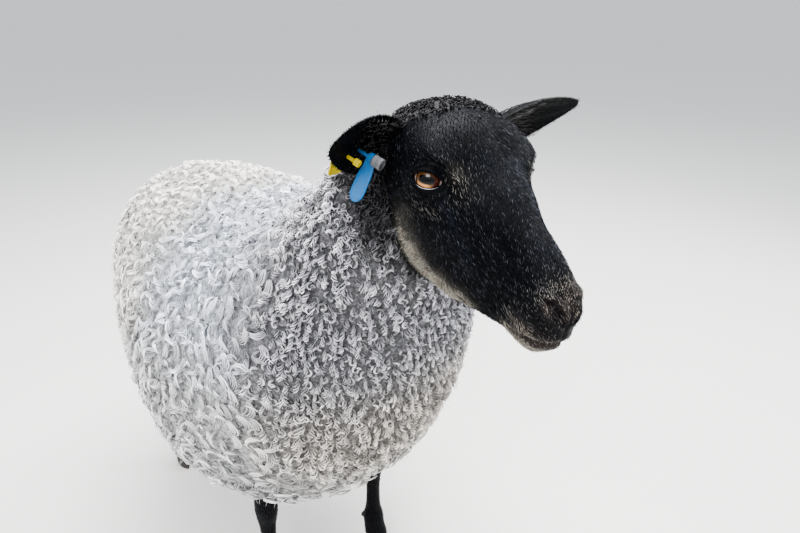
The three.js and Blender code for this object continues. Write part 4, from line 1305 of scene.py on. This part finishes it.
def growFleece():
    # locks all over the trunk's face: ropes wound of three strands on the neck, nested loops on the body
    s, angle = scatter(trunkPoint, (0.03, 13.9), (0, 2 * np.pi), coatDensity)
    root = trunkPoint(s, angle)
    outward = surfaceNormal(trunkPoint, s, angle, 0.03, 0.015, trunkMiddle(s))
    keep = insideHead(bodyToHead(root), 0.5) > 1
    s, angle, root, outward = s[keep], angle[keep], root[keep], outward[keep]
    isNeck = neckShare(root) > random.uniform(0.25, 0.75, len(s))
    pieces = []
    for name, look in lockLook.items():
        ropes = name == "fleeceRopes"
        rings, strands = look["rings"], look["strands"]
        pick = isNeck == ropes
        at, place, away = (s[pick], angle[pick]), root[pick], outward[pick]
        count = len(place)
        chance = lambda low, high: random.uniform(low, high, count)
        neck = neckShare(place)
        tuft, seeds, inner = tuftsOf(place, look["tuft"], look["seed"])
        each = lambda low, high: random.uniform(low, high, len(seeds))[tuft]  # one value for a whole tuft
        border = bell(inner, 0.25)
        top = smoothStep(0.35, 0.8, away[:, 2]) * (1 - neck)
        shoulder = smoothStep(210, 330, place[:, 0]) * (1 - 0.7 * top)
        chest = neck * smoothStep(600, 480, place[:, 2])
        depth = np.interp(at[0], np.arange(15), bodyShape["coatDepth"])
        # locks hang down and back, each tuft a little its own way, and lean to their tuft's middle
        aim = (np.array([0, 0, -1.0]) + np.array([-1.0, 0, 0])
               * (0.25 + 0.45 * smoothStep(0.3, 0.9, away[:, 2:3])))
        aim = aim + random.normal(0, look["wander"], (len(seeds), 3))[tuft]
        aim = (aim + random.normal(0, 0.5 * look["wander"], (count, 3))
               + (seeds[tuft] - place) / look["tuft"] * 0.4)
        lie = laidFlat(aim, away)
        if ropes:
            # coiled into a ring that faces out, or else hanging as a corkscrew
            ring = chance(0, 1) < 0.42 - 0.2 * chest
            curl = fleeceLook["ropeCurl"] + (fleeceLook["chestCurl"] - fleeceLook["ropeCurl"]) * chest
            curl = curl * each(0.85, 1.2) * chance(0.8, 1.2)
            curl = np.where(ring, fleeceLook["ringCurl"] * chance(0.75, 1.2), curl)
            curl = curl * (1 + 0.5 * smoothStep(470, 410, place[:, 0]))
            turns = np.where(ring, chance(1.1, 1.4), chance(1.2, 1.8))
            length = np.where(ring, chance(3, 6), chance(10, 16) + 4 * chest)
            lean = np.where(ring, chance(66, 88), chance(0, 30))
            rise = chance(1.6, 2.6)
            pressed, hook = np.ones(count), np.full(count, 0.95)
        else:
            # curls laid flat in open rings, or else waves that hang down
            curl = fleeceLook["flankCurl"] + (fleeceLook["shoulderCurl"] - fleeceLook["flankCurl"]) * shoulder
            curl = (curl + (fleeceLook["backCurl"] - curl) * top) * chance(0.65, 1.25)
            ring = chance(0, 1) < 0.12 + 0.62 * shoulder
            turns = np.where(ring, chance(0.9, 1.3), chance(0.75, 1.3))
            length = np.where(ring, chance(12, 22), chance(26, 44) - 10 * top)
            lean = np.where(ring, chance(64, 88), chance(8, 50))
            rise = np.full(count, 3.0)
            pressed = np.where(ring, 1.0, chance(0.35, 0.75))
            hook = np.where(ring, 0.9, chance(1.0, 1.6))
        lean = np.radians(lean)
        phase = chance(0, 6.28)
        hand = np.where(chance(0, 1) < 0.5, -1.0, 1.0)
        # folds: the wool parts in upright creases on the neck and chest, where it is sunk and darkened with
        # painted shade
        fold = bell(np.abs(softNoise(place * [1, 1, 0.28], 46, 40)), 0.15) * neck
        sunk = 5.0 * fold + look["borderSunk"] * border + chance(-1.8, 3.0)
        tone = each(0.88, 1.1) * chance(0.8, 1.15) * (1 - 0.55 * fold)
        # painted shade: darker at the tufts' borders and the deeper a lock is sunk
        tone = tone * (1 - look["borderPaintedShade"] * border) * (1 - 0.05 * sunk)
        # each lock becomes its strands: side by side on the body, wound about each other on the neck
        own = np.repeat(np.arange(count), strands)
        k = np.tile(np.arange(strands), count) - (strands - 1) / 2
        n = len(own)
        apart = random.normal(0, 1, n)
        base, normal = overSurface(trunkPoint, trunkMiddle, at[0], at[1], lie, length, rings, (0.03, 13.97),
                                   0.02, 0.01)
        base, normal = (base - normal * sunk[:, None, None])[own], normal[own]
        side = np.cross(normal, lie[own][:, None])
        t = np.linspace(0, 1, rings)[None]
        base = base + side * (look["gap"] * k[:, None] * (0.5 + 0.5 * np.sin(np.pi * t)))[..., None]
        wound = phase[own] + (k * 2 * np.pi / strands if ropes else 0.10 * apart)
        if ropes:
            wound = np.where(ring[own], phase[own] + 0.25 * k, wound)
        depth = (depth * chance(0.6, 0.9))[own]
        curl = curl[own] * (1 + look["spread"] * k + 0.04 * apart)
        turns = turns[own] * (1 + 0.04 * apart)
        paths, facing = windLocks(base, normal, lie[own], depth, curl, turns, lean[own], wound, hand[own],
                                  rise[own], pressed[own], hook[own])
        radius = look["width"] * (0.45 + 0.55 * np.sin(np.pi * np.clip(t * 1.1, 0, 1)))
        radius = radius * np.sqrt(1 - t**5 * 0.96) * random.uniform(0.7, 1.2, n)[:, None]
        # painted shade darkens each strand at its root, deep in the coat, and painted light brightens its tip
        # on the coat's face
        shade = (look["rootPaintedShade"] + (0.95 - look["rootPaintedShade"]) * smoothStep(0.05, 0.62, t)
                 + look["tipPaintedLight"] * smoothStep(0.6, 1, t))
        # the outer arcs of a coil are lit, its inside is dark
        arch = smoothStep(-0.8, 1.0, (facing * normal).sum(-1))
        shade = shade * (look["shade"][0] + look["shade"][1] * arch)
        colour = (fleeceColour(place) * tone[:, None])[own][:, None]
        colour = colour * (shade * random.uniform(0.88, 1.12, (n, 1)))[..., None]
        bakeAt = np.stack([0.02 + 0.96 * at[0] / 14, 0.30 + 0.68 * (at[1] % (2 * np.pi)) / (2 * np.pi)],
                          -1)[own]
        outer = bodyToHead(paths[:, rings // 2 :].reshape(-1, 3))
        clear = (insideHead(outer, -1.0) > 1).reshape(n, -1).all(1)
        pieces.append((name, [a[clear] for a in (paths, facing, radius, colour, bakeAt)], at[0][own][clear]))
    return pieces


wool = coatMaterial("curlyLustrousFleece", 0.55, 0.3, 1.2)
darkWool = coatMaterial("darkPollWool", 0.6, 0.04, 1.2, shine=0.15)
pieceLimit = 190000  # triangles in one piece of the coat
coatTriangles = 0


def dressCoat(name, strands, order, material, slot, **more):
    # cuts the strands into pieces in the given order, each under the limit
    global coatTriangles
    rings = strands[0].shape[1]
    each = 6 + max(rings - 3, 0) * 6
    parts = int(np.ceil(len(order) * each / pieceLimit))
    for k, rows in enumerate(np.array_split(np.argsort(order), parts)):
        piece = strandMesh(name + str(k), *[a[rows] for a in strands], **more)
        finishPiece(piece, material)
        coatTriangles += len(piece.data.polygons)


for name, strands, order in growFleece():
    dressCoat(name, strands, order, wool, "fleece", flat=0.75 if name == "fleeceRopes" else 0.5)


def growFuzz():
    # single fine hairs that stand off the fleece all round and soften its outline
    s, angle = scatter(trunkPoint, (0.03, 13.9), (0, 2 * np.pi), evenly(fleeceLook["fuzzSpacing"]),
                       shift=0.13)
    root = trunkPoint(s, angle)
    keep = insideHead(bodyToHead(root), 4) > 1
    s, angle, root = s[keep], angle[keep], root[keep]
    away = surfaceNormal(trunkPoint, s, angle, 0.03, 0.015, trunkMiddle(s))
    count = len(s)
    t = np.linspace(0, 1, 5)[None, :, None]
    flow = unit(np.array([-0.4, 0, -1.0]) + random.normal(0, 0.7, (count, 3)))[:, None]
    bend = unit(np.cross(away, flow[:, 0]))[:, None] * random.uniform(-1, 1, (count, 1, 1))
    length = random.uniform(8, 20, (count, 1, 1))
    reach = flow * t * 0.8 + away[:, None] * (0.45 * t + 0.1) + bend * 0.5 * t**2
    paths = root[:, None] - 4 * away[:, None] + length * reach
    colour = np.broadcast_to((fleeceColour(root) * random.uniform(0.8, 1.25, (count, 1)))[:, None],
                             paths.shape)
    bakeAt = np.stack([0.02 + 0.96 * s / 14, 0.30 + 0.68 * angle / (2 * np.pi)], -1)
    return [paths, np.broadcast_to(away[:, None], paths.shape), np.full((count, 5), 0.27), colour, bakeAt], s


strands, order = growFuzz()
dressCoat("fleeceFuzz", strands, order, wool, "fleece")
print("fleece:", coatTriangles, "triangles")


# wool on the poll, behind the cheeks, on the tail and the thighs
def headAt(x, angle):
    # the sculpted head's face, read between the rows and columns of its grid, in the sheep's frame
    i = np.clip(np.interp(x, headRowsX, np.arange(len(headRowsX))), 0, headRows - 1.001)
    turned = (angle - headAngles[0]) % (2 * np.pi) + headAngles[0]
    j = np.interp(turned, np.append(headAngles, headAngles[0] + 2 * np.pi), np.arange(headColumns + 1))
    i0, j0 = i.astype(int), np.minimum(j.astype(int), headColumns - 1)
    f, g = (i - i0)[..., None], (j - j0)[..., None]
    j1 = (j0 + 1) % headColumns
    first = headBody[i0, j0 % headColumns] * (1 - f) + headBody[i0 + 1, j0 % headColumns] * f
    second = headBody[i0, j1] * (1 - f) + headBody[i0 + 1, j1] * f
    return first * (1 - g) + second * g


headBody = headToBody(headGrid)


def headMiddle(x):
    # on the midline, at the level of the widest point
    row = headSection(np.clip(x, headBack, headTip))
    return headToBody(np.stack([x + 0 * row[..., 0], 0 * row[..., 0], row[..., 4]], -1))


trunkS, trunkA = np.meshgrid(np.linspace(7, 13.9, 90), roundSteps(90), indexing="ij")
trunkFace = trunkPoint(trunkS, trunkA)
trunkOut = surfaceNormal(trunkPoint, trunkS, trunkA, 0.03, 0.015, trunkMiddle(trunkS)).reshape(-1, 3)
trunkFace = trunkFace.reshape(-1, 3)


def underWool(p):
    # how deep a point lies under the neck's wool; negative is outside it
    far, at = nearest(p, trunkFace, 1)
    depth = -((p - trunkFace[at]) * trunkOut[at]).sum(1)
    return np.where(far[:, 0] ** 2 - depth**2 < 100, depth, -1)


# the curls' spacing, size and depth in mm, and their island in the bake map: left, low, width, height
smallWoolLook = {
    "poll": {"spacing": 4.6, "curlSize": 2.1, "longest": 7, "depth": 5.0, "island": (0.02, 0.02, 0.16, 0.25)},
    "pocket": {"spacing": 5.2, "curlSize": 2.3, "longest": 12, "depth": 8.0,
               "island": (0.19, 0.275, 0.26, 0.02)},
    "tail": {"spacing": 7.2, "curlSize": 4.2, "longest": 22, "depth": -0.5,
             "island": (0.84, 0.02, 0.13, 0.1)},
    "thighRight": {"spacing": 8.2, "curlSize": 4.2, "longest": 20, "depth": -0.5,
                   "island": (0.60, 0.15, 0.09, 0.1)},
    "thighLeft": {"spacing": 8.2, "curlSize": 4.2, "longest": 20, "depth": -0.5,
                  "island": (0.70, 0.15, 0.09, 0.1)},
}


def smallWool(look, pointAt, middleAt, uSpan, vSpan, allowed, du, dv, colourAt=fleeceColour):
    # one curl from each root over a face, wound as the locks are
    density = lambda p, u, v: allowed(p) / look["spacing"] ** 2
    u, v = scatter(pointAt, uSpan, vSpan, density, cells=(90, 120))
    root = pointAt(u, v)
    away = surfaceNormal(pointAt, u, v, du, dv, middleAt(u))
    count = len(u)
    chance = lambda low, high: random.uniform(low, high, count)
    aim = np.array([-0.5, 0, -1.0]) + random.normal(0, 0.35, (count, 3))
    lie = laidFlat(aim, away)
    rings = 12
    length = chance(0.35, 1.0) * look["longest"]
    base, normal = overSurface(pointAt, middleAt, u, v, lie, length, rings, uSpan, du, dv)
    base = base + normal * look["depth"]
    depth = chance(0.7, 1.0) * look["depth"]
    curl = look["curlSize"] * chance(0.7, 1.25)
    turns = chance(1.3, 2.1)
    lean = np.radians(chance(25, 85))
    phase = chance(0, 6.28)
    hand = np.where(chance(0, 1) < 0.5, -1.0, 1.0)
    rise = chance(1.3, 2.2)
    paths, facing = windLocks(base, normal, lie, depth, curl, turns, lean, phase, hand, rise, np.ones(count),
                              np.full(count, 0.9))
    t = np.linspace(0, 1, rings)[None]
    radius = 1.05 * (0.5 + 0.5 * np.sin(np.pi * np.clip(t * 1.15, 0, 1))) * np.sqrt(1 - t**5 * 0.96)
    radius = radius * chance(0.7, 1.2)[:, None]
    tone = colourAt(root) * chance(0.7, 1.25)[:, None]
    # painted shade at the root, deep in the coat, and painted light at the tip
    colour = tone[:, None] * (0.35 + 0.6 * smoothStep(0.05, 0.6, t) + 0.35 * smoothStep(0.6, 1, t))[..., None]
    (u0, u1), (v0, v1) = uSpan, vSpan
    left, low, width, height = look["island"]
    bakeAt = np.stack([left + width * (u - u0) / (u1 - u0), low + height * ((v - v0) / (v1 - v0) % 1)], -1)
    return root, [paths, facing, radius, colour, bakeAt]


def pollColour(p):
    # the poll's cap is near black in front and greyer behind
    front = smoothStep(-22, 22, bodyToHead(p)[:, 0] + 5 * softNoise(p, 20, 31))
    return blend(0.42 * fleeceColour(p), 0.75 * tint["charcoal"], front)


def pollAllowed(p):
    # behind the edge of the face's short hair
    q = bodyToHead(p)
    return (q[..., 0] < faceEdge(q) - 1).astype(float)


root, strands = smallWool(smallWoolLook["poll"], headAt, headMiddle, (-30, 66), (-np.pi / 2, 1.5 * np.pi),
                          pollAllowed, 1.2, 0.03, pollColour)
shown = underWool(root) < 5
dressCoat("headWool", [a[shown] for a in strands], np.arange(shown.sum()), darkWool, "fleece")


def pocketAllowed(p):
    # inside an oval at each side of the head
    q = bodyToHead(p)
    return ((((q[..., 0] - 46) / 66) ** 2 + ((q[..., 2] + 8) / 76) ** 2 < 1)
            & (np.abs(q[..., 1]) > 50)).astype(float)


# the hollows behind the cheeks, where the skin lies deep
pocketAt = lambda s, angle: trunkPoint(s, angle, 11.0)
root, strands = smallWool(smallWoolLook["pocket"], pocketAt, trunkMiddle, (10.6, 13.9), (0, 2 * np.pi),
                          pocketAllowed, 0.03, 0.015)
dressCoat("pocketWool", strands, np.arange(len(root)), darkWool, "fleece")


def tailMiddle(z):
    # the middle of the tail's section at each height
    heights, places = np.array(tailShape, float).T[:2]
    return (ovalPoint(tailShape, z, 0 * z, 0, 0) * [0, 0, 1]
            + np.stack([np.interp(z, heights, places), 0 * z, 0 * z], -1))


tailAt = lambda z, angle: ovalPoint(tailShape, z, angle, 0, 0)
root, strands = smallWool(smallWoolLook["tail"], tailAt, tailMiddle, (415, 589), (0, 2 * np.pi),
                          lambda p: np.ones(p.shape[:-1]), 1.0, 0.03)
dressCoat("tailWool", strands, np.arange(len(root)), wool, "fleece")

for side in (-1, 1):
    thighAt = lambda z, angle: ovalPoint(legShape["hind"], z, angle, *footPlace("hind", side))
    thighAllowed = lambda p: smoothStep(246, 268, p[..., 2])
    root, strands = smallWool(smallWoolLook["thigh" + sideName(side)], thighAt, columnMiddle(thighAt),
                              (246, 400), (0, 2 * np.pi), thighAllowed, 1.5, 0.03)
    dressCoat("thighWool" + sideName(side), strands, np.arange(len(root)), wool, "fleece")
print("wool on the poll, cheeks, tail and thighs")


# short hair on the face, ears and legs
hairLook = {
    "faceSpacing": 1.95, "earSpacing": 2.2, "legSpacing": 3.3, "faceLength": 6.0,
    "faceRadius": 0.3, "earRadius": 0.33, "legRadius": 0.45,
    "grey": "#70727c", "paintedSheen": "#5b6480", "earBlack": "#17171a", "earTuft": "#85827f", "earEdge": "#8f8c88",
            "legGrey": "#4a4a4e",
    # where the face's hair is paler (brow, under) and where a painted blue-grey sheen lies (bone, bridge,
    # front): middle and spread, and lines with their widths, in the head's frame
    "brow": [[108, 42, 26], [15, 12, 17]], "under": [[94, 54, -8], [14, 12, 9]],
    "bone": [[[108, 46, 6], [130, 40, -14], [152, 33, -26]], 7],
    "bridge": [[[110, 14, 52], [160, 12, 40], [205, 9, 24]], 10],
    "front": [[[66, 52, 40], [88, 44, 50]], 10],
}


def layHairs(root, away, lie, length, lift, width, colour, bakeAt, rings=3):
    # short hairs: out of the skin at a low angle, bending down along the lie
    t = np.linspace(0, 1, rings)[None, :, None]
    long = length[:, None, None]
    height = -0.5 + (lift[:, None, None] * long + 0.5) * np.sin(t * np.pi * 0.62)
    paths = root[:, None] + lie[:, None] * long * t + away[:, None] * height
    radius = np.broadcast_to(width[:, None], paths.shape[:2])
    facing = np.broadcast_to(away[:, None], paths.shape)
    colours = np.broadcast_to(colour[:, None], paths.shape) * (0.7 + 0.5 * t)
    return [paths, facing, radius, colours, bakeAt]


def hairFlow(q):
    # the lie of the face's hair: down the nose, back and down over the cheeks, outward round the eyes
    side = np.sign(q[:, 1])
    cheek = smoothStep(-8, -50, q[:, 2]) * smoothStep(150, 90, q[:, 0])
    flow = np.stack([0.9 - 1.5 * cheek, side * 0.25 * (1 - cheek), -0.25 - 0.75 * cheek], -1)
    return unit(flow + 0.12 * np.stack([softNoise(q, 26, seed) for seed in (50, 51, 52)], -1))


def faceDensity(p, u, v):
    # none behind the face's edge or in the eyes, finer on the muzzle
    q = bodyToHead(p)
    allowed = (q[..., 0] > faceEdge(q) - 4).astype(float)
    for side in (-1, 1):
        centre, looks, corner, up = eyeAxes(side)
        rel = q - centre
        inEye = (rel @ looks > 0) & (np.hypot((rel @ corner) / 17, (rel @ up) / 10) < 1)
        allowed = allowed * np.where(inEye, 0, 1)
    fine = 1 + 0.5 * smoothStep(190, 240, q[..., 0])
    return allowed * fine / hairLook["faceSpacing"] ** 2


def growFaceHair():
    # black hair along its lie, with paler hairs among it by where they grow
    x, angle = scatter(headAt, (-5, 246.5), (-np.pi / 2, 1.5 * np.pi), faceDensity, cells=(200, 200))
    root = headAt(x, angle)
    away = surfaceNormal(headAt, x, angle, 1.2, 0.02, headMiddle(x))
    q = bodyToHead(root)
    count = len(x)
    flow = hairFlow(q) @ headAxes + random.normal(0, 0.14, (count, 3))
    lie = laidFlat(flow, away)
    muzzle = smoothStep(190, 235, q[:, 0])
    length = hairLook["faceLength"] * random.uniform(0.6, 1.25, count) * (1 - 0.45 * muzzle)
    pale = faceColour(q)
    half = mirrored(q)
    jaw = smoothStep(0.006, 0.07, pale.mean(1))
    brow, under = (np.exp(-(np.linalg.norm((half - hairLook[name][0]) / hairLook[name][1], axis=1) ** 2))
                   for name in ("brow", "under"))
    # pale stubble on the muzzle, thickest along the upper lip and on the chin
    stubble = smoothStep(196, 226, q[:, 0]) * (0.45 + 0.55 * smoothStep(0.3, 0.7, softNoise(q, 12, 61)))
    chin = smoothStep(186, 206, q[:, 0]) * smoothStep(-46, -54, q[:, 2])
    lip = smoothStep(186, 204, q[:, 0]) * bell(q[:, 2] + 39, 5)
    tip = smoothStep(212, 230, q[:, 0]) * smoothStep(-14, -2, q[:, 2])
    share = (0.17 + 0.55 * jaw + 0.32 * brow + 0.3 * under + 0.36 * stubble + 0.25 * tip + 0.6 * chin
             + 0.4 * lip
             + 0.14 * smoothStep(0.2, 0.8, softNoise(q, 30, 60)))
    light = random.uniform(0, 1, count) < share
    streaks = jaw + 0.75 * brow + 0.6 * under + 0.5 * stubble + 0.35 * tip + 0.8 * chin + 0.5 * lip
    streaks = np.clip(streaks, 0, 1)[:, None]
    lighter = linearHex(hairLook["grey"]) * random.uniform(0.08, 0.62, (count, 1)) * (1 - streaks)
    lighter = lighter + streaks * tint["facePale"] * random.uniform(0.4, 1.5, (count, 1))
    colour = np.where(light[:, None], lighter, pale * random.uniform(0.6, 1.9, (count, 1)))
    # painted blue-grey sheen on the cheekbone, the bridge and the front of the brow, added to the hairs'
    # colour
    bone, bridge, front = (bell(pathDistance(half, hairLook[name][0])[0], hairLook[name][1])
                           for name in ("bone", "bridge", "front"))
    paintedSheen = np.clip(bone + 0.8 * bridge + 0.25 * front, 0, 1) * random.uniform(0.0, 0.26, count)
    colour = colour + linearHex(hairLook["paintedSheen"]) * paintedSheen[:, None]
    bakeAt = np.stack([0.19 + 0.26 * (x + 5) / 252, 0.02 + 0.25 * ((angle + np.pi / 2) / (2 * np.pi) % 1)],
                      -1)
    lift = random.uniform(0.08, 0.24, count)
    radius = hairLook["faceRadius"] * random.uniform(0.7, 1.2, count) * (1 - 0.25 * muzzle)
    return layHairs(root, away, lie, length, lift, radius, colour, bakeAt)


hair = coatMaterial("shortBlackHair", 0.36, 0.02, 0.4, shine=0.07)
strands = growFaceHair()
dressCoat("faceHair", strands, np.arange(len(strands[0])), hair, "short_hair", flat=0.7)

for k, name in enumerate(("right", "left")):
    ear = earShape[name]
    earAt = lambda t, turn: headToBody(earPoint(ear, t, np.cos(turn) * 0.985, earThickness(t) * np.sin(turn)))
    t, turn = scatter(earAt, (0.04, 0.975), (0, 2 * np.pi), evenly(hairLook["earSpacing"]), cells=(80, 90))
    root = earAt(t, turn)
    along, opens, across = (axis @ headAxes for axis in earAxes(ear))
    away = faceNormal(earAt, t, turn, 0.004, 0.02)
    away = away * np.sign((away * opens).sum(1) * np.sin(turn))[:, None]
    count = len(t)
    flow = along + random.normal(0, 0.22, (count, 3)) + (np.cos(turn) * 0.3)[:, None] * across
    lie = laidFlat(flow, away)
    inside = np.sin(turn) > 0
    tufty = inside * smoothStep(0.75, 0.3, t) * (random.uniform(0, 1, count) < 0.35)
    length = random.uniform(3.0, 5.5, count) + 9 * tufty
    edge = bell(np.abs(np.sin(turn)), 0.3)
    colour = linearHex(hairLook["earBlack"]) * random.uniform(0.4, 1.5, (count, 1))
    colour = colour + (tufty * random.uniform(0.2, 0.8, count))[:, None] * linearHex(hairLook["earTuft"])
    colour = colour + (edge * random.uniform(0, 0.7, count))[:, None] * linearHex(hairLook["earEdge"])
    bakeAt = np.stack([0.48 + 0.05 * k + 0.04 * t, 0.02 + 0.2 * turn / (2 * np.pi)], -1)
    lift = random.uniform(0.1, 0.3, count) + 0.35 * tufty
    strands = layHairs(root, away, lie, length, lift, np.full(count, hairLook["earRadius"]), colour, bakeAt)
    dressCoat("earHair" + name.title(), strands, np.arange(count), hair, "short_hair", flat=0.7)

for kind in ("fore", "hind"):
    for side in (-1, 1):
        legAt = lambda z, angle: ovalPoint(legShape[kind], z, angle, *footPlace(kind, side),
                                           legShape["inset"])
        z, angle = scatter(legAt, (38.5, 292), (0, 2 * np.pi), evenly(hairLook["legSpacing"]), cells=(90, 60))
        root = legAt(z, angle)
        away = surfaceNormal(legAt, z, angle, 1.0, 0.03, columnMiddle(legAt)(z))
        count = len(z)
        flow = np.array([-0.15, 0, -1.0]) + random.normal(0, 0.14, (count, 3))
        lie = laidFlat(flow, away)
        brush = smoothStep(-0.5, -0.95, np.cos(angle)) * bell(z - 74, 22)  # longer behind the fetlock
        length = random.uniform(4.5, 8, count) + 6 * brush
        colour = tint["legBlack"] * random.uniform(0.5, 2.2, (count, 1))
        colour = colour + (random.uniform(0, 1, (count, 1)) < 0.08) * linearHex(hairLook["legGrey"]) * 0.6
        k = 0.60 + 0.09 * (kind == "hind") + 0.045 * (side > 0)
        bakeAt = np.stack([k + 0.04 * (angle / (2 * np.pi)), 0.02 + 0.12 * (z - 38) / 254], -1)
        lift = random.uniform(0.06, 0.2, count)
        strands = layHairs(root, away, lie, length, lift, np.full(count, hairLook["legRadius"]), colour,
                           bakeAt)
        dressCoat("legHair" + kind.title() + sideName(side), strands, np.arange(count), hair, "short_hair",
                  flat=0.7)
print("coat:", coatTriangles, "triangles")


for side in (-1, 1):
    rings = lidLook["rimRings"]
    path, (looks, corner, up) = lidEdgePath(side, rings, lidLook["rimLift"], True)
    radius = lidLook["rimRadius"] * np.sin(np.pi * np.linspace(0.04, 0.96, rings)) ** 0.4
    # the rim's pale colour is partly the wet lid edge's own pale tone and partly a painted highlight along it
    colour = np.broadcast_to(linearHex(lidLook["rim"]), (1, rings, 3))
    rim = strandMesh("lidRim" + sideName(side), path[None], np.broadcast_to(looks, (1, rings, 3)),
                     radius[None], colour, np.array([[0.5, 0.25]]), flat=0.9)
    finishPiece(rim, wetMembrane)
    count = lidLook["lashes"]
    root, _ = lidEdgePath(side, count, lidLook["lashLift"], False)
    t = np.linspace(0, 1, 5)[None, :, None]
    spread = np.linspace(-0.5, 0.45, count)[:, None, None] + random.normal(0, 0.1, (count, 1, 1))
    long = lidLook["lashLength"] * random.uniform(0.6, 1.1, (count, 1, 1))
    paths = root[:, None] + long * (looks * (t * 0.75) + corner * spread * t + up * (-0.45 * t + 0.5 * t**2))
    lashes = strandMesh("lashes" + sideName(side), paths, np.broadcast_to(up, paths.shape),
                        np.full((count, 5), lidLook["lashRadius"]),
                        np.broadcast_to(linearHex(lidLook["lash"]), paths.shape), np.full((count, 2), 0.5),
                        flat=0.9)
    finishPiece(lashes, hair)
print("lid rims and lashes")
